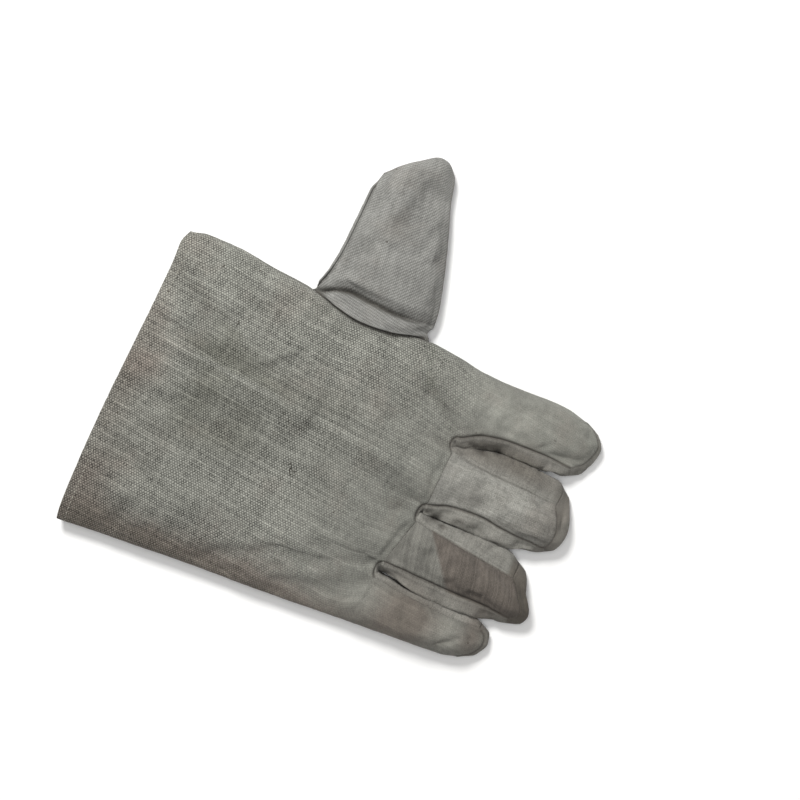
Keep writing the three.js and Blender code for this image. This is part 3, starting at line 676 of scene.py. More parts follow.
# ---------------------------------------------------------------- seams: grooves, rolled edges and puckers
#            depth, half width of the groove, roll beside it on the front's side, on the other side, pucker, painted
#            shade and the painted shade's half width; the painted shade is darkest on seams whose edge faces away from
#            the light
SEAM_KIND = dict(
    upper=(0.10, 0.7, 0.26, 0.00, 0.18, 0.15, 0.75),
    lower=(0.85, 0.9, 0.50, 0.10, 0.30, 1.00, 0.90),
    crotch=(0.90, 0.9, 0.60, 0.10, 0.34, 1.00, 0.90),
    foot=(0.60, 0.9, 0.10, 0.10, 0.20, 0.60, 0.75),
    root=(0.25, 0.7, 0.08, 0.12, 0.14, 0.30, 0.75),
    tip=(0.45, 0.8, 0.25, 0.10, 0.20, 0.55, 0.75),
    end=(0.20, 0.8, 0.05, 0.05, 0.10, 0.30, 0.75),
    side=(0.40, 0.9, 0.10, 0.10, 0.10, 0.60, 0.75),
    thumb=(1.40, 1.3, 0.25, 0.25, 0.22, 1.00, 1.25),
    rolled=(1.00, 0.6, 0.20, 0.30, 0.06, 1.00, 0.8),
)
on_seam, kinds = [], []
for kind, parts in net.seams.items():
    i = np.unique(np.concatenate(parts))
    on_seam.append(i)
    kinds.append(np.tile(SEAM_KIND[kind], (len(i), 1)))
on_seam, kinds = np.concatenate(on_seam), np.concatenate(kinds)
tree = tree_of(skin[on_seam])
found = [tree.find(p) for p in skin]
near = np.array([f[1] for f in found])
dist = np.array([f[2] for f in found])


def noise_at(points, scale, seed=0.0, stretch=(1, 1, 1)):
    q = points * np.array(stretch) / scale + np.array([seed, -seed, 2 * seed])
    return np.array([noise.noise(Vector(p)) for p in q])


normals = net.normals(skin)
depth, half, roll_in, roll_out, pucker, shade, shade_half = kinds[near].T
front = members("palm_panel", "middle_finger_front", "ring_finger_front", "thumb_front")
roll = np.where(front, roll_in, roll_out)
seam_noise = noise_at(skin[on_seam], 3.6, 3.0) + 0.6 * noise_at(skin[on_seam], 1.7, 8.0)
groove = -depth * np.exp(-((dist / half) ** 1.5)) + roll * np.exp(-(((dist - 1.5) / 1.0) ** 2)) * (1 + 0.5 * seam_noise[near])
ripple = pucker * seam_noise[near] * np.exp(-((dist / 4.2) ** 2)) * (1 - np.exp(-((dist / 0.9) ** 2)))
upper_side = smooth((skin[:, 2] - 4) / 6)
big = noise_at(skin, 30.0, 1.0) * 0.9 + noise_at(skin, 12.0, 5.0, (1, 0.7, 1)) * 0.40 + noise_at(skin, 5.0, 9.0) * 0.12
edge_calm = 0.3 + 0.7 * smooth(near_to(["side", "rolled"], net.v) / 12)
skin2 = skin + normals * (groove + 1.5 * ripple + big * edge_calm * (0.25 + 0.75 * upper_side))[:, None]
corner_calm = np.exp(-((near_to(["end"], net.v) / 3.0) ** 2))
skin2 = net.soften(skin2, 40, 1 - corner_calm)
skin2 = net.soften(skin2, 2, 1 - 0.7 * np.exp(-((dist / 2.0) ** 2)))

# the thumb's crease: a sharp valley that the thumb's ball leans over
CREASE = curve(
    [77.2, 85.7, 92.8, 104.4, 117.4, 128.2, 136.8],
    [-80.4, -84.0, -85.4, -84.4, -83.8, -84.3, -86.3],
)
is_thumb = members("thumb_front")
for g in net.grids:
    if g["piece"] == "thumb_front":  # folded over at the crease, so that the twill leans the other way beside it
        P = net.v[g["idx"]]
        a = math.radians(-54)
        c = g["cloth"] - np.array([106.0, 84.0])
        turned = np.stack([c[..., 0] * math.cos(a) + c[..., 1] * math.sin(a), c[..., 1] * math.cos(a) - c[..., 0] * math.sin(a)], -1)
        beside = (P[..., 0] > CREASE(P[..., 1]))[..., None]
        g["cloth"] = np.where(beside, turned + np.array([106.0, 84.0]), g["cloth"])
d = skin[:, 0] - CREASE(skin[:, 1])  # + is towards the palm
fade_c = smooth((skin[:, 1] - 75) / 5) * smooth((140 - skin[:, 1]) / 26)
valley = np.where(d > 0, np.exp(-((d / 0.8) ** 2)), 0.8 * np.exp(-((d / 1.1) ** 2)) + 0.2 * np.exp(-((d / 2.6) ** 2)))
ball = np.exp(-(((d + 4.4) / 3.4) ** 2))
strip = np.exp(-(((d - 3.4) / 2.6) ** 2))
skin2[:, 2] += np.where(is_thumb, (-3.4 * valley + 1.6 * ball + 1.2 * strip) * fade_c, 0)
skin2[:, 2] = np.maximum(skin2[:, 2], 0.05)
SMALL_CREASES = [  # x0, y0, x1, y1, half width, depth
    (45.0, 193.0, 57.0, 202.0, 1.2, 0.9),
    (50.0, 190.0, 64.0, 196.0, 1.6, 0.5),
    (-66.0, 214.0, -58.0, 219.0, 1.0, 0.5),
    (-12.0, 176.0, -4.0, 190.0, 2.6, 0.9),
    (14.0, 168.0, 30.0, 176.0, 2.4, 0.8),
    (-25.0, 236.4, -14.0, 238.0, 0.9, 1.0),
]
HOLES = [(-37.8, 181.0, 0.9, 1.4), (2.2, 171.6, 0.9, 1.4), (6.2, 182.0, 1.2, 2.6), (-36.4, 186.4, 1.6, 4.6), (-39.4, 193.2, 1.3, 3.6), (4.4, 176.6, 1.6, 4.2), (40.0, 163.4, 1.0, 2.6)]
hole_shade = np.zeros(len(skin))
facing_up = smooth((net.normals(skin2)[:, 2] - 0.2) / 0.4)
for x0, y0, x1, y1, w, deep in SMALL_CREASES:
    dx, dy = x1 - x0, y1 - y0
    t = np.clip(((skin[:, 0] - x0) * dx + (skin[:, 1] - y0) * dy) / (dx * dx + dy * dy), 0, 1)
    gone = np.hypot(skin[:, 0] - x0 - t * dx, skin[:, 1] - y0 - t * dy)
    skin2[:, 2] -= deep * np.exp(-((gone / w) ** 2)) * np.sin(math.pi * np.clip(t * 0.8 + 0.1, 0, 1)) * facing_up
PLEATS = [  # small pleats where the strips turn round between the fingers: x0, y0, x1, y1
    (-34.6, 175.0, -36.6, 184.5), (-31.6, 176.0, -34.6, 183.0), (-38.4, 178.0, -38.6, 187.0),
    (1.6, 173.0, 3.6, 180.0), (6.6, 172.0, 5.2, 179.0), (38.2, 162.0, 40.4, 168.0),
]
for x0, y0, x1, y1 in PLEATS:
    dx, dy = x1 - x0, y1 - y0
    t = np.clip(((skin[:, 0] - x0) * dx + (skin[:, 1] - y0) * dy) / (dx * dx + dy * dy), 0, 1)
    gone = np.hypot(skin[:, 0] - x0 - t * dx, skin[:, 1] - y0 - t * dy)
    line = np.exp(-((gone / 0.8) ** 2)) * facing_up * members(*GUSSET)
    skin2[:, 2] -= 0.7 * line
    hole_shade = np.maximum(hole_shade, 0.45 * line)
for x, y, w, deep in HOLES:
    near_hole = np.exp(-(((skin[:, 0] - x) / w) ** 2) - ((skin[:, 1] - y) / (1.8 * w)) ** 2) * smooth((skin[:, 2] - 4) / 4)
    skin2[:, 2] -= deep * near_hole
    hole_shade = np.maximum(hole_shade, near_hole)

crease_shade = np.where(d > 0, np.exp(-((d / 0.8) ** 2)), 0.85 * np.exp(-((d / 1.3) ** 2)) + 0.15 * np.exp(-((d / 2.6) ** 2)))
crease_shade = np.where(is_thumb, crease_shade * fade_c, 0)

normals2 = net.normals(skin2)
inward = net.soften(normals2, 8)
inward[:, 1] *= smooth((net.v[:, 1] - 4) / 14)  # the cuff's wall ends square
bead_in = (np.exp(-((off_roll / 3.0) ** 4)) * (members("thumb_back")))[:, None]
inward = mix(inward, np.array([0.0, -1.0, 0.0]), bead_in)  # the rolled edge's wall lies behind it
inward /= np.maximum(np.linalg.norm(inward, axis=1, keepdims=True), 1e-9)
# painted shade: darker along the seams, in the thumb's crease and in the holes and pleats between the fingers
shade_val = np.maximum(shade * np.exp(-((dist / shade_half) ** 2)), 0.95 * crease_shade)
shade_val = np.maximum(shade_val, hole_shade)

# Where the cloth is browner or darker, from stains and from painted shade: x, y, half widths along x and y, brown,
# dark.
STAINS = [
    (76, 60, 14, 90, 0.9, 0.22),  # the little finger's edge of the hand
    (70, 8, 40, 14, 0.6, 0.10),
    (57, 183, 17, 15, 1.2, 0.14),  # little finger
    (54, 205, 10, 6, 0.1, -0.40),
    (52, 218, 14, 6, 0.9, 0.10),
    (44, 176, 8, 16, 0.2, 0.14),
    (32, 216, 10, 30, 0.6, 0.16),  # outer half of the ring finger
    (-12, 4, 60, 9, 0.7, 0.05),  # cuff edge
    (-12, 15, 9, 9, 0.6, 0.0),
    (-34, 39, 9, 24, 0.0, 0.26),
    (-9, 42, 22, 11, 0.0, 0.26),
    (4, 62, 15, 24, 0.0, 0.28),
    (-28, 84, 10, 26, 0.0, 0.14),
    (-20, 112, 22, 12, 0.0, 0.12),
    (-18, 70, 24, 20, 0.0, 0.09),
    (34, 20, 20, 14, 0.2, 0.06),
    (18, 178, 10, 10, 0.1, 0.16),
    (-14, 189, 9, 9, 0.1, 0.20),
    # painted shade: the first finger's lower side and the strip beside it face away from the light
    (-44, 200, 4, 22, 0.3, 0.26),
    (-41, 202, 4, 17, 0.6, 0.36),  # painted shade on the first finger's lower side, which faces away from the light
    (-37, 203, 4.5, 24, 0.7, 0.34),
    (-60, 150, 14, 10, 0.0, 0.10),
    (-58, 206, 18, 44, 0.0, -0.44),
    (-94, 104, 6, 30, 0.0, -0.14),
    (-110, 92, 8, 9, 0.0, 0.10),
    (-124, 98, 9, 14, 0.0, 0.12),
    (-150, 104, 8, 7, 0.0, 0.08),
    (-10, 206, 16, 34, 0.0, -0.26),
    (40, 112, 26, 40, 0.0, -0.30),
    (-50, 12, 26, 30, 0.0, -0.12),
    (-60, 96, 16, 40, 0.0, -0.12),
    (-24, 236, 16, 6, 0.5, 0.15),
    (12, 236, 30, 7, 0.6, 0.15),
    # painted shade where the middle finger's strip slopes down into the gap beside the first finger
    (-33, 200, 3.5, 30, 0.4, 0.16),
    (-72, 20, 10, 30, 0.0, -0.10),
    (4, 208, 3, 24, 0.2, 0.14),
    (18, 120, 20, 16, 0.0, 0.06),
    (70, 120, 9, 60, 0.5, 0.08),
    (50, 60, 14, 50, 0.0, -0.08),
]
brown_val = np.zeros(len(skin))
dark_val = np.zeros(len(skin))
patchy = 0.85 + 0.6 * noise_at(skin, 26.0, 21.0, (1.3, 0.8, 1)) + 0.15 * noise_at(skin, 8.0, 25.0, (1, 0.5, 1))
for x, y, wx, wy, brown, dark in STAINS:
    w = np.exp(-(((skin[:, 0] - x) / wx) ** 2) - ((skin[:, 1] - y) / wy) ** 2) * np.clip(patchy, 0, 1.4)
    brown_val += brown * w
    dark_val += dark * w
SHADED = [  # painted shade along soft valleys: x0, y0, x1, y1, half width, dark
    (-62, 8, -43, 47, 4.2, 0.18),
    (-79, 141, -60, 147, 3.0, 0.12),
    (-60, 147, -42, 168, 3.0, 0.14),
    (-30, 56, -6, 44, 7.0, 0.08),
    (-52, 118, -38, 128, 2.5, 0.07),
    (34, 152, 24, 166, 4.0, 0.10),
    (-4, 164, -14, 176, 4.0, 0.08),
]
for x0, y0, x1, y1, w, dark in SHADED:
    dx, dy = x1 - x0, y1 - y0
    t = np.clip(((skin[:, 0] - x0) * dx + (skin[:, 1] - y0) * dy) / (dx * dx + dy * dy), 0, 1)
    gone = np.hypot(skin[:, 0] - x0 - t * dx, skin[:, 1] - y0 - t * dy)
    dark_val += dark * np.exp(-((gone / w) ** 2)) * front
BANDS = [  # yarns of another shade that run along the glove: x0, y0, x1, y1, half width, dark
    (-28, 4, -19.5, 92, 1.1, -0.24),
    (-20.5, 84, -14, 168, 1.0, -0.15),
    (-52, 2, -45, 60, 1.1, -0.09),
    (-2, 6, 4, 60, 1.2, -0.08),
    (12, 70, 20, 150, 1.6, -0.08),
    (-32, 20, -25, 90, 1.4, 0.10),
    (-13, 30, -8, 84, 2.2, 0.10),
    (48, 20, 56, 120, 1.5, -0.07),
]
for x0, y0, x1, y1, w, dark in BANDS:
    dx, dy = x1 - x0, y1 - y0
    t = ((skin[:, 0] - x0) * dx + (skin[:, 1] - y0) * dy) / (dx * dx + dy * dy)
    gone = np.abs((skin[:, 0] - x0) * dy - (skin[:, 1] - y0) * dx) / math.hypot(dx, dy)
    dark_val += dark * np.exp(-((gone / w) ** 2)) * smooth(t * 5) * smooth((1 - t) * 4) * front
# the set-in front of the ring finger is browner beyond a straight line across it
on_ring = members("ring_finger_front") & (skin[:, 0] > 5)
beyond = smooth((skin[:, 1] - 178.7 - 0.73 * (skin[:, 0] - 12.7)) / 2.0) * on_ring
brown_val = np.where(on_ring, 0.05 + 0.9 * beyond, brown_val)
dark_val = np.where(on_ring, 0.5 * dark_val + 0.16 * beyond, dark_val)
at_end = smooth((skin[:, 0] - 6) / 2) * smooth((41.5 - skin[:, 0]) / 1.5) * smooth((skin[:, 1] - 221) / 3)
at_end = at_end * members("back_panel", "gusset_middle_ring") * ~on_ring * smooth((skin[:, 2] - 2) / 3)
brown_val += 0.7 * at_end
dark_val += 0.26 * at_end
# painted shade: darker in the thumb's crease, on the strip beside it and along the thumb's seam to the palm
painted_crease_shade = np.where(d > 0, np.exp(-((d / 1.3) ** 2)), np.exp(-((d / 2.0) ** 2))) * fade_c * is_thumb
dark_val += 0.34 * painted_crease_shade + 0.03 * (d > 0) * is_thumb + 0.26 * np.exp(-((near_to(["thumb"], net.v) / 2.0) ** 2)) * is_thumb
brown_val, dark_val = np.clip(brown_val, 0, 1), np.clip(dark_val, -0.4, 0.6)
slant_y = skin[:, 1] + 0.4 * skin[:, 0]
nap_val = 0.74 * smooth((slant_y - 92) / 104)  # rubbed towards the fingers, where the yarns show less
nap_val = np.where(members("thumb_front", "thumb_back"), np.where(d > 0, 0.32, 0.22), nap_val)
nap_val = np.where(members("middle_finger_front", *GUSSET), 0.45, nap_val)
nap_val = np.where(members("palm_panel") & (skin[:, 0] < -30), np.maximum(nap_val, 0.86 * smooth((skin[:, 1] - 150) / 40)), nap_val)
nap_val = np.where(on_ring, 0.15, nap_val)
nap_val = np.maximum(nap_val, 0.6 * np.exp(-((off_roll / 2.6) ** 2)) * ~front)

# ---------------------------------------------------------------- materials


class Nodes:
    """Short names for the few shader nodes the cloth uses."""

    def __init__(self, name):
        self.mat = bpy.data.materials.new(name)
        self.mat.use_nodes = True
        self.tree = self.mat.node_tree
        self.bsdf = self.tree.nodes["Principled BSDF"]

    def new(self, kind, **props):
        n = self.tree.nodes.new(kind)
        for k, v in props.items():
            setattr(n, k, v)
        return n

    def put(self, socket, value):
        if isinstance(value, bpy.types.NodeSocket):
            self.tree.links.new(value, socket)
        elif value is not None:
            socket.default_value = value

    def math(self, op, a, b=None, c=None, clamp=False):
        n = self.new("ShaderNodeMath", operation=op, use_clamp=clamp)
        for i, v in enumerate((a, b, c)):
            self.put(n.inputs[i], v)
        return n.outputs[0]

    def vmath(self, op, a, b=None, scale=None):
        n = self.new("ShaderNodeVectorMath", operation=op)
        self.put(n.inputs[0], a)
        if b is not None:
            self.put(n.inputs[1], b)
        if scale is not None:
            self.put(n.inputs["Scale"], scale)
        return n.outputs[0]

    def xyz(self, x, y, z=0.0):
        n = self.new("ShaderNodeCombineXYZ")
        for i, v in enumerate((x, y, z)):
            self.put(n.inputs[i], v)
        return n.outputs[0]

    def noise(self, vector, scale=1.0, detail=2.0, rough=0.5):
        n = self.new("ShaderNodeTexNoise")
        self.put(n.inputs["Vector"], vector)
        n.inputs["Scale"].default_value = scale
        n.inputs["Detail"].default_value = detail
        n.inputs["Roughness"].default_value = rough
        return n.outputs["Fac"]

    def ramp(self, value, a, b, lo=0.0, hi=1.0):
        n = self.new("ShaderNodeMapRange", interpolation_type="SMOOTHSTEP")
        self.put(n.inputs["Value"], value)
        for k, v in (("From Min", a), ("From Max", b), ("To Min", lo), ("To Max", hi)):
            n.inputs[k].default_value = v
        return n.outputs[0]

    def mixc(self, kind, fac, a, b):
        n = self.new("ShaderNodeMix", data_type="RGBA", blend_type=kind)
        self.put(n.inputs["Factor"], fac)
        self.put(n.inputs[6], a)
        self.put(n.inputs[7], b)
        return n.outputs[2]


def canvas(name, base, tint, pitch=(0.69, 0.69), twill=False, slub=(0.46, 0.12), mottle=0.16, tint_amount=0.35,
           relief=0.20, flecks=1.0, contrast=0.62, ridge=0.0,
           uneven=(0.12, 0.08, 0.16), bands=1.0):
    """Natural cotton canvas. pitch is the spacing of the yarns in mm, slub the strength of thick and thin yarns
    along and across the glove, tint a browner shade that lies in patches, contrast how much the two sets of yarns
    differ."""
    N = Nodes(name)
    uv = N.new("ShaderNodeUVMap", uv_map="cloth").outputs[0]  # fabric coordinates in mm
    wob = N.new("ShaderNodeTexNoise")
    N.put(wob.inputs["Vector"], uv)
    wob.inputs["Scale"].default_value = 0.06
    wob.inputs["Detail"].default_value = 3.0
    wob.inputs["Roughness"].default_value = 0.62
    off = N.vmath("SUBTRACT", wob.outputs["Color"], (0.5, 0.5, 0.5))
    uvw = N.vmath("ADD", uv, N.vmath("SCALE", off, scale=1.4))
    sep = N.new("ShaderNodeSeparateXYZ")
    N.put(sep.inputs[0], uvw)
    u, v = sep.outputs[0], sep.outputs[1]
    # the yarns are not quite evenly spaced
    su = N.math("MULTIPLY_ADD", N.noise(N.xyz(u, 0.0, 5.0), 0.45, 1.0), 0.7, N.math("DIVIDE", u, pitch[0]))
    sv = N.math("MULTIPLY_ADD", N.noise(N.xyz(0.0, v, 9.0), 0.45, 1.0), 0.7, N.math("DIVIDE", v, pitch[1]))
    i, j = N.math("FLOOR", su), N.math("FLOOR", sv)
    fu = N.math("SUBTRACT", N.math("SUBTRACT", su, i), 0.5)
    fv = N.math("SUBTRACT", N.math("SUBTRACT", sv, j), 0.5)
    cu = N.math("COSINE", N.math("MULTIPLY", fu, math.pi))
    cv = N.math("COSINE", N.math("MULTIPLY", fv, math.pi))
    if twill:
        phase = N.math("FLOORED_MODULO", N.math("SUBTRACT", sv, i), 3.0)
        over = N.ramp(N.math("ABSOLUTE", N.math("SUBTRACT", phase, 1.5)), 0.35, 1.05, 1.0, -1.0)
        warp = N.math("MULTIPLY", cu, N.math("MULTIPLY_ADD", over, 0.4, 0.6))
        weft = N.math("MULTIPLY", cv, N.math("MULTIPLY_ADD", over, -0.25, 0.45))
        dots = over
    else:
        parity = N.math("FLOORED_MODULO", N.math("ADD", i, j), 2.0)
        sign = N.math("MULTIPLY_ADD", parity, -2.0, 1.0)
        warp = N.math("MULTIPLY_ADD", N.math("MULTIPLY", sign, cv), 0.5, N.math("MULTIPLY", cu, 0.5))
        weft = N.math("MULTIPLY_ADD", N.math("MULTIPLY", sign, cu), -0.5, N.math("MULTIPLY", cv, 0.5))
        dots = N.math("MULTIPLY", sign, N.math("MULTIPLY", cu, cv))
    # the smooth larger of the two
    height = N.math("SMOOTH_MAX", warp, weft, 0.12)
    # every yarn has its own shade, and thick stretches that run along it
    yarn_u = N.new("ShaderNodeTexWhiteNoise", noise_dimensions="1D")
    N.put(yarn_u.inputs["W"], i)
    yarn_v = N.new("ShaderNodeTexWhiteNoise", noise_dimensions="1D")
    N.put(yarn_v.inputs["W"], N.math("ADD", j, 0.37))
    s_warp = N.noise(N.xyz(N.math("MULTIPLY", i, 3.17), N.math("MULTIPLY", v, 0.055)), 1.0, 2.0, 0.6)
    s_weft = N.noise(N.xyz(N.math("MULTIPLY", u, 0.06), N.math("MULTIPLY", j, 3.17), 7.0), 1.0, 2.0, 0.6)
    thick_w = N.ramp(s_warp, 0.60, 0.80, 0.0, 1.0)
    thick_f = N.ramp(s_weft, 0.62, 0.82, 0.0, 1.0)
    band = N.ramp(N.noise(N.xyz(N.math("MULTIPLY", u, 0.20), N.math("MULTIPLY", v, 0.014), 3.0), 1.0, 2.0, 0.5), 0.50, 0.72, -0.04 * bands, 0.13 * bands)
    streak = N.math("ADD", N.math("MULTIPLY", thick_w, slub[0]), N.math("MULTIPLY", thick_f, slub[1]))
    own = N.math("ADD", N.ramp(yarn_u.outputs["Value"], 0, 1, -uneven[0], uneven[0]), N.ramp(yarn_v.outputs["Value"], 0, 1, -uneven[1], uneven[1]))
    cell = N.new("ShaderNodeTexWhiteNoise", noise_dimensions="2D")
    N.put(cell.inputs["Vector"], N.xyz(N.math("ADD", i, 0.5), N.math("ADD", j, 0.5)))
    own = N.math("ADD", own, N.ramp(cell.outputs["Value"], 0, 1, -uneven[2], uneven[2]))
    rubbed = N.math("SUBTRACT", 1.0, N.new("ShaderNodeAttribute", attribute_name="nap").outputs["Fac"])
    streak = N.math("MULTIPLY_ADD", N.math("ADD", streak, own), rubbed, band)
    blotch = N.ramp(N.noise(uv, 0.05, 3.0, 0.55), 0.32, 0.68, -mottle, mottle)
    cloudy = N.ramp(N.noise(uv, 0.30, 3.0, 0.6), 0.30, 0.70, -0.07, 0.07)
    fine = N.ramp(N.noise(uv, 1.9, 3.0, 0.7), 0.28, 0.72, -0.22, 0.22)
    light = N.math("ADD", N.math("ADD", streak, N.math("ADD", blotch, cloudy)), fine)
    # painted shade: deep spots between the yarns are darker
    pit_shade = N.ramp(height, 0.12, 0.8, -0.42, 0.12)
    weave = N.math("MULTIPLY_ADD", dots, contrast, pit_shade)
    # painted highlight along the crest of each warp yarn, painted shade at its edges
    weave = N.math("MULTIPLY_ADD", N.math("SUBTRACT", cu, 0.64), ridge, weave)
    weave = N.math("MULTIPLY", weave, N.math("POWER", rubbed, 1.6))
    light = N.math("ADD", N.math("ADD", light, weave), 1.0)
    # the dark attribute darkens by stains and by painted shade in the thumb's crease, along soft valleys and on the
    # first finger's lower side; the same darkening warms the colour
    dark_a = N.new("ShaderNodeAttribute", attribute_name="dark").outputs["Fac"]
    light = N.math("MULTIPLY", light, N.math("SUBTRACT", 1.0, dark_a))
    dust_and_shade_tint = N.ramp(dark_a, 0.0, 0.4, 0.0, 0.26)
    # scraps of cotton seed caught in the yarn
    vor = N.new("ShaderNodeTexVoronoi", feature="F1")
    N.put(vor.inputs["Vector"], uv)
    vor.inputs["Scale"].default_value = 0.12
    pick = N.new("ShaderNodeSeparateColor")
    N.put(pick.inputs[0], vor.outputs["Color"])
    size = N.math("MULTIPLY", N.ramp(pick.outputs[0], 0.55, 1.0), 0.075)
    speck = N.math("LESS_THAN", N.math("ADD", vor.outputs["Distance"], N.math("MULTIPLY", fine, 0.12)), size)
    speck = N.math("MULTIPLY", speck, 0.62 * flecks)
    grey = N.new("ShaderNodeCombineColor")
    for k in range(3):
        N.put(grey.inputs[k], light)
    brown_a = N.new("ShaderNodeAttribute", attribute_name="brown").outputs["Fac"]
    brown = N.ramp(N.noise(uv, 0.03, 4.0, 0.65), 0.48, 0.70, 0.0, tint_amount)
    brown = N.math("ADD", brown, brown_a, clamp=True)
    colour = N.mixc("MIX", brown, (*base, 1), (*tint, 1))
    colour = N.mixc("MULTIPLY", 1.0, colour, grey.outputs[0])
    colour = N.mixc("MULTIPLY", dust_and_shade_tint, colour, (1.03, 1.02, 0.86, 1))
    colour = N.mixc("MIX", speck, colour, (0.045, 0.035, 0.025, 1))
    # painted shade along the seams, in the thumb's crease and in the holes and pleats between the fingers
    seam_shade_a = N.new("ShaderNodeAttribute", attribute_name="seam").outputs["Fac"]
    colour = N.mixc("MIX", N.math("MULTIPLY", seam_shade_a, 0.70, clamp=True), colour, (0.050, 0.042, 0.034, 1))
    N.put(N.bsdf.inputs["Base Color"], colour)
    N.bsdf.inputs["Roughness"].default_value = 0.93
    N.bsdf.inputs["Specular IOR Level"].default_value = 0.15
    N.bsdf.inputs["Sheen Weight"].default_value = 0.06
    N.bsdf.inputs["Sheen Roughness"].default_value = 0.6
    relief_h = N.math("ADD", height, N.math("MULTIPLY", streak, 1.2))
    relief_h = N.math("ADD", relief_h, N.math("MULTIPLY", fine, 1.2))
    bump = N.new("ShaderNodeBump")
    bump.inputs["Strength"].default_value = 1.0
    bump.inputs["Distance"].default_value = relief * MM
    N.put(bump.inputs["Height"], relief_h)
    N.put(N.bsdf.inputs["Normal"], bump.outputs[0])
    return N.mat


BASE = (0.196, 0.197, 0.176)
TINT = (0.180, 0.160, 0.140)
MATS = dict(
    palm_panel=canvas("palm_canvas", BASE, TINT, pitch=(1.13, 0.72), slub=(0.46, 0.24), mottle=0.09, contrast=0.60, ridge=0.36),
    back_panel=canvas("back_canvas", (0.195, 0.190, 0.170), TINT),
    middle_finger_front=canvas("finger_canvas", (0.246, 0.243, 0.222), TINT, slub=(0.16, 0.20), mottle=0.12, contrast=0.22),
    ring_finger_front=canvas("ring_canvas", (0.192, 0.189, 0.170), (0.150, 0.130, 0.115), slub=(0.05, 0.32), mottle=0.12, tint_amount=0.05, contrast=0.14, uneven=(0.03, 0.14, 0.06), bands=0.3),
    thumb_front=canvas("thumb_canvas", (0.262, 0.261, 0.247), TINT, pitch=(0.74, 0.56), twill=True, slub=(0.06, 0.06), mottle=0.10, relief=0.2, contrast=0.24, uneven=(0.05, 0.03, 0.06), bands=0.15),
    cuff_hem=canvas("hem_canvas", (0.190, 0.184, 0.166), TINT),
)
MATS["thumb_back"] = MATS["thumb_front"]
gusset_mat = canvas("gusset_canvas", (0.236, 0.231, 0.209), TINT, pitch=(0.5, 0.5), slub=(0.10, 0.10), mottle=0.08, tint_amount=0.2, contrast=0.16)
for g in GUSSET:
    MATS[g] = gusset_mat


# ---------------------------------------------------------------- from skin to pieces
def make_mesh(name, v, faces, loops_uv, attrs, material):
    mesh = bpy.data.meshes.new(name)
    mesh.from_pydata(v.tolist(), [], faces)
    layer = mesh.uv_layers.new(name="cloth")
    layer.data.foreach_set("uv", np.asarray(loops_uv, np.float32).ravel())
    for key, values in attrs.items():
        a = mesh.attributes.new(key, "FLOAT", "POINT")
        a.data.foreach_set("value", np.asarray(values, np.float32))
    mesh.materials.append(material)
    for p in mesh.polygons:
        p.use_smooth = True
    mesh.validate()
    obj = bpy.data.objects.new(name, mesh)
    bpy.context.scene.collection.objects.link(obj)
    return obj


TURN = dict(palm_panel=-6.0, back_panel=2.0, ring_finger_front=10.0, thumb_front=9.0, thumb_back=9.0)  # how the cloth's grain lies, in degrees


def build_piece(name):
    """One pattern piece with its wall: the outer skin, the same skin a wall's thickness in, and the cut edge."""
    a = math.radians(TURN.get(name, 0.0))
    grain = np.array([[math.cos(a), -math.sin(a)], [math.sin(a), math.cos(a)]])
    own = [(g["idx"], g["cloth"] @ grain) for g in net.grids if g["piece"] == name]
    ids = np.unique(np.concatenate([i.ravel() for i, _ in own]))
    local = {int(k): n for n, k in enumerate(ids)}
    m = len(ids)
    outer = skin2[ids]
    inner_v = outer - inward[ids] * WALL
    inner_v[:, 2] = np.maximum(inner_v[:, 2], np.minimum(outer[:, 2], 0) + 0.0)
    faces, uvs = [], []
    edges = {}
    for idx, cl in own:
        h_, w_ = idx.shape
        for r in range(h_ - 1):
            for c in range(w_ - 1):
                corner = [(r, c), (r, c + 1), (r + 1, c + 1), (r + 1, c)]
                ring = []
                for k, (a, b) in enumerate(corner):
                    v = local[int(idx[a, b])]
                    if not ring or (ring[-1][0] != v):
                        ring.append((v, cl[a, b]))
                if len(ring) > 1 and ring[0][0] == ring[-1][0]:
                    ring.pop()
                if len(ring) < 3:
                    continue
                vs = [q[0] for q in ring]
                faces.append(vs)
                uvs.extend(q[1] for q in ring)
                for k in range(len(vs)):
                    edges[(vs[k], vs[(k + 1) % len(vs)])] = (ring[k][1], ring[(k + 1) % len(vs)][1])
    n_outer = len(faces)
    at = 0
    inner_uv = []
    for vs in faces[:n_outer]:
        k = len(vs)
        inner_uv.append(uvs[at : at + k][::-1])
        at += k
    faces += [[q + m for q in vs[::-1]] for vs in faces[:n_outer]]
    for block in inner_uv:
        uvs.extend(block)
    for (a, b), (ua, ub) in edges.items():
        if (b, a) not in edges:
            faces.append([b, a, a + m, b + m])
            shift_uv = np.array([0.9, 0.9])
            uvs.extend([ub, ua, ua + shift_uv, ub + shift_uv])
    v = (np.concatenate([outer, inner_v]) + CENTRE) * MM
    # seam and dark carry painted shade besides stains; the inner wall gets a little painted shade all over
    attrs = dict(
        seam=np.concatenate([shade_val[ids], np.full(m, 0.1)]),
        brown=np.tile(brown_val[ids], 2),
        dark=np.concatenate([dark_val[ids], np.full(m, 0.1)]),
        nap=np.tile(nap_val[ids], 2),
    )
    obj = make_mesh(name + "_cloth", v, faces, uvs, attrs, MATS[name])
    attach(obj, "root")
    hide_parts(name)
    return obj


for name in ("palm_panel", "back_panel", "middle_finger_front", "ring_finger_front", *GUSSET, "thumb_front", "thumb_back"):
    build_piece(name)

# ---------------------------------------------------------------- the hem, folded in at the cuff
HEM = 9.5
palm, back = net.palm, net.back
ring_idx = [palm[:, c] for c in range(palm.shape[1])] + [back[:, c] for c in range(palm.shape[1] - 2, 0, -1)]
take = [k for k in range(len(net.row_y)) if net.row_y[k] <= HEM + 0.6]
outer_g, inner_g = [], []
for col in ring_idx:
    p = skin2[col[take]]
    nrm = inward[col[take]]
    outer_g.append(p - nrm * (WALL - 0.05))
    inner_g.append(p - nrm * (WALL + 1.25))
outer_g, inner_g = np.array(outer_g), np.array(inner_g)
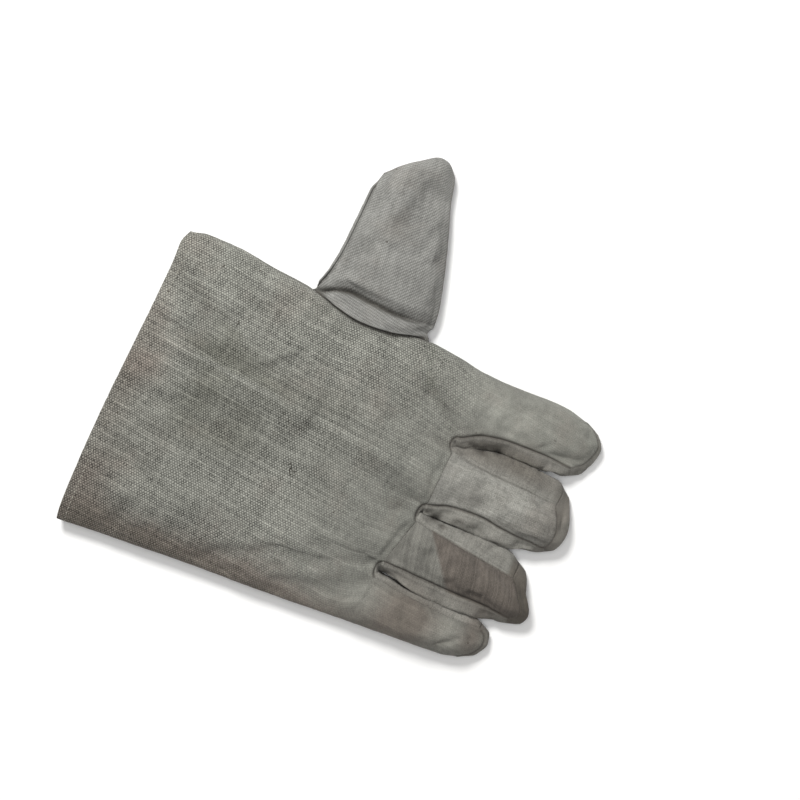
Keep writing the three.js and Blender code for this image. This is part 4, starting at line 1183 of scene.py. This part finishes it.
# close section: outer face out to the cuff edge, round it, and back along the inner face
mid0 = (outer_g[:, 0] + inner_g[:, 0]) / 2 + np.array([0, -0.35, 0])
mid1 = (outer_g[:, -1] + inner_g[:, -1]) / 2 + np.array([0, 0.35, 0])
loop = np.concatenate([outer_g[:, ::-1], mid0[:, None], inner_g, mid1[:, None]], 1)
nr, nl = loop.shape[:2]
run = np.cumsum(np.linalg.norm(np.diff(loop[:, 0], axis=0, prepend=loop[:1, 0]), axis=1))
faces, uvs = [], []
for a in range(nr):
    for b in range(nl):
        a2, b2 = (a + 1) % nr, (b + 1) % nl
        faces.append([a * nl + b, a * nl + b2, a2 * nl + b2, a2 * nl + b])
        ua, ub = run[a], run[a] + 1.2 if a2 == 0 else run[a2]
        uvs.extend([(ua, b * 0.9), (ua, b * 0.9 + 0.9), (ub, b * 0.9 + 0.9), (ub, b * 0.9)])
v = (loop.reshape(-1, 3) + CENTRE) * MM
v[:, 2] = np.maximum(v[:, 2], 0.0003)
plain = dict(seam=np.zeros(len(v)), brown=np.full(len(v), 0.2), dark=np.full(len(v), 0.05))
hem = make_mesh("cuff_hem_cloth", v, faces, uvs, plain, MATS["cuff_hem"])
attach(hem, "root")
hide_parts("cuff_hem")

# ---------------------------------------------------------------- threads and stray fibres
def tubes(name, paths, material, sides=6):
    """One mesh of round threads. A path is (points, radii)."""
    v, faces, uvs = [], [], []
    for path, radii in paths:
        path = np.asarray(path, float)
        run = np.gradient(path, axis=0)
        run /= np.linalg.norm(run, axis=1, keepdims=True)
        a1 = np.cross(run, [0.13, 0.31, 0.94])
        a1 /= np.linalg.norm(a1, axis=1, keepdims=True)
        a2 = np.cross(run, a1)
        first = len(v)
        for p, r, e, f in zip(path, radii, a1, a2):
            for k in range(sides):
                t = 2 * math.pi * k / sides
                v.append(p + r * (math.cos(t) * e + math.sin(t) * f))
        n = len(path)
        for q in range(n - 1):
            for k in range(sides):
                k2 = (k + 1) % sides
                faces.append([first + q * sides + k, first + q * sides + k2, first + (q + 1) * sides + k2, first + (q + 1) * sides + k])
                uvs.extend([(k, q), (k + 1, q), (k + 1, q + 1), (k, q + 1)])
        for base, order in ((first, range(sides - 1, -1, -1)), (first + (n - 1) * sides, range(sides))):
            faces.append([base + k for k in order])
            uvs.extend([(0, 0)] * sides)
    obj = make_mesh(name, (np.array(v) + CENTRE) * MM, faces, uvs, {}, material)
    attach(obj, "root")
    return obj


def yarn_material(name, colour, amount):
    N = Nodes(name)
    place = N.new("ShaderNodeTexCoord").outputs["Object"]
    fibre = N.noise(N.vmath("MULTIPLY", place, (900, 900, 900)), 1.0, 3.0, 0.7)
    patch = N.noise(place, 60.0, 2.0, 0.5)
    light = N.math("ADD", N.ramp(fibre, 0.3, 0.7, 1 - amount, 1 + amount), N.ramp(patch, 0.3, 0.7, -0.1, 0.1))
    grey = N.new("ShaderNodeCombineColor")
    for k in range(3):
        N.put(grey.inputs[k], light)
    N.put(N.bsdf.inputs["Base Color"], N.mixc("MULTIPLY", 1.0, (*colour, 1), grey.outputs[0]))
    N.bsdf.inputs["Roughness"].default_value = 0.85
    N.bsdf.inputs["Specular IOR Level"].default_value = 0.2
    bump = N.new("ShaderNodeBump")
    bump.inputs["Distance"].default_value = 0.05 * MM
    N.put(bump.inputs["Height"], fibre)
    N.put(N.bsdf.inputs["Normal"], bump.outputs[0])
    return N.mat


def hem_stitches(idx, at=4.3, stitch=1.7, gap=1.3):
    """Lockstitches round one side of the cuff, at that distance from its edge."""
    rows = net.row_y
    k = int(np.searchsorted(rows, at)) - 1
    t = (at - rows[k]) / (rows[k + 1] - rows[k])
    line = mix(skin2[idx[k]], skin2[idx[k + 1]], t)
    up = mix(normals2[idx[k]], normals2[idx[k + 1]], t)
    run = np.concatenate([[0], np.cumsum(np.linalg.norm(np.diff(line, axis=0), axis=1))])
    out = []
    s0 = 1.5
    while s0 + stitch < run[-1] - 1:
        length = stitch * (1 + 0.12 * rng.standard_normal())
        q = np.linspace(s0, s0 + length, 6)
        arch = np.array([-0.30, 0.10, 0.20, 0.20, 0.10, -0.30])
        p = np.stack([np.interp(q, run, line[:, c]) for c in range(3)], 1)
        n = np.stack([np.interp(q, run, up[:, c]) for c in range(3)], 1)
        out.append((p + n * arch[:, None], [0.12, 0.17, 0.19, 0.19, 0.17, 0.12]))
        s0 += length + gap
    return out


thread = yarn_material("hem_thread", (0.36, 0.345, 0.30), 0.25)
tubes("hem_thread", hem_stitches(net.palm) + hem_stitches(net.back), thread)

top_ids = np.unique(net.palm)
top_tree = tree_of(np.column_stack([skin2[top_ids, :2], np.zeros(len(top_ids))]))


def on_palm(x, y):
    return skin2[top_ids[top_tree.find((x, y, 0))[1]], 2]


def fibre(points, radius):
    t = np.linspace(0, 1, 14)
    c = np.linspace(0, 1, len(points))
    x = curve(c, [p[0] for p in points])(t)
    y = curve(c, [p[1] for p in points])(t)
    z = np.array([on_palm(a, b) for a, b in zip(x, y)]) + 0.18
    z = np.convolve(np.pad(z, 2, mode="edge"), np.ones(5) / 5, "valid")
    return np.stack([x, y, z], 1), radius * (1 - 0.6 * np.abs(2 * t - 1) ** 3)


dark_yarn = yarn_material("caught_fibre", (0.035, 0.030, 0.024), 0.3)
tubes("caught_fibre", [
    fibre([(5.6, 98.0), (7.6, 99.4), (9.6, 99.2), (11.6, 100.8)], 0.20),
    fibre([(8.0, 99.4), (9.4, 101.0), (9.0, 103.0)], 0.16),
    fibre([(6.6, 98.8), (7.2, 97.0)], 0.14),
    fibre([(-46.0, 45.6), (-48.2, 46.2), (-50.6, 45.7)], 0.15),
], dark_yarn)

# ---------------------------------------------------------------- floor, light, camera
floor_mat = Nodes("pale_floor")
floor_mat.bsdf.inputs["Base Color"].default_value = (0.93, 0.93, 0.93, 1)
floor_mat.bsdf.inputs["Roughness"].default_value = 0.9
floor_mat.bsdf.inputs["Specular IOR Level"].default_value = 0.1
bpy.ops.mesh.primitive_plane_add(size=6.0, location=(0, 0, -0.0004))
floor = bpy.context.object
floor.name = "floor"
floor.data.materials.append(floor_mat.mat)

A23 = math.radians(23.0)
IMG_RIGHT = Vector((-math.sin(A23), math.cos(A23), 0))
IMG_UP = Vector((-math.cos(A23), -math.sin(A23), 0))
target = Vector(((-44.7 + CENTRE[0]) * MM, (136.7 + CENTRE[1]) * MM, 0.012))

cam_data = bpy.data.cameras.new("camera")
cam_data.lens = 100
cam_data.sensor_width = 36
cam = bpy.data.objects.new("camera", cam_data)
bpy.context.scene.collection.objects.link(cam)
dist_c = 0.408 * 100 / 36
cam.location = target + Vector((0, 0, dist_c))
from mathutils import Matrix

cam.matrix_world = Matrix.Translation(cam.location) @ Matrix(
    ((IMG_RIGHT.x, IMG_UP.x, 0), (IMG_RIGHT.y, IMG_UP.y, 0), (IMG_RIGHT.z, IMG_UP.z, 1))
).to_4x4()
bpy.context.scene.camera = cam


def area(name, where, size, power, colour=(1, 1, 1)):
    data = bpy.data.lights.new(name, "AREA")
    data.shape = "DISK"
    data.size = size
    data.energy = power
    data.color = colour
    o = bpy.data.objects.new(name, data)
    o.location = where
    o.rotation_euler = (target - Vector(where)).to_track_quat("-Z", "Y").to_euler()
    bpy.context.scene.collection.objects.link(o)


area("key", target + IMG_UP * 0.85 - IMG_RIGHT * 0.35 + Vector((0, 0, 1.1)), 0.5, 20, (1.0, 0.995, 0.975))
area("top", target + Vector((0, 0, 1.9)), 1.2, 15, (0.98, 0.99, 1.0))

world = bpy.data.worlds.new("world")
world.use_nodes = True
world.node_tree.nodes["Background"].inputs[0].default_value = (0.93, 0.90, 0.86, 1)
world.node_tree.nodes["Background"].inputs[1].default_value = 0.26
bpy.context.scene.world = world
bpy.context.scene.view_settings.view_transform = "Standard"
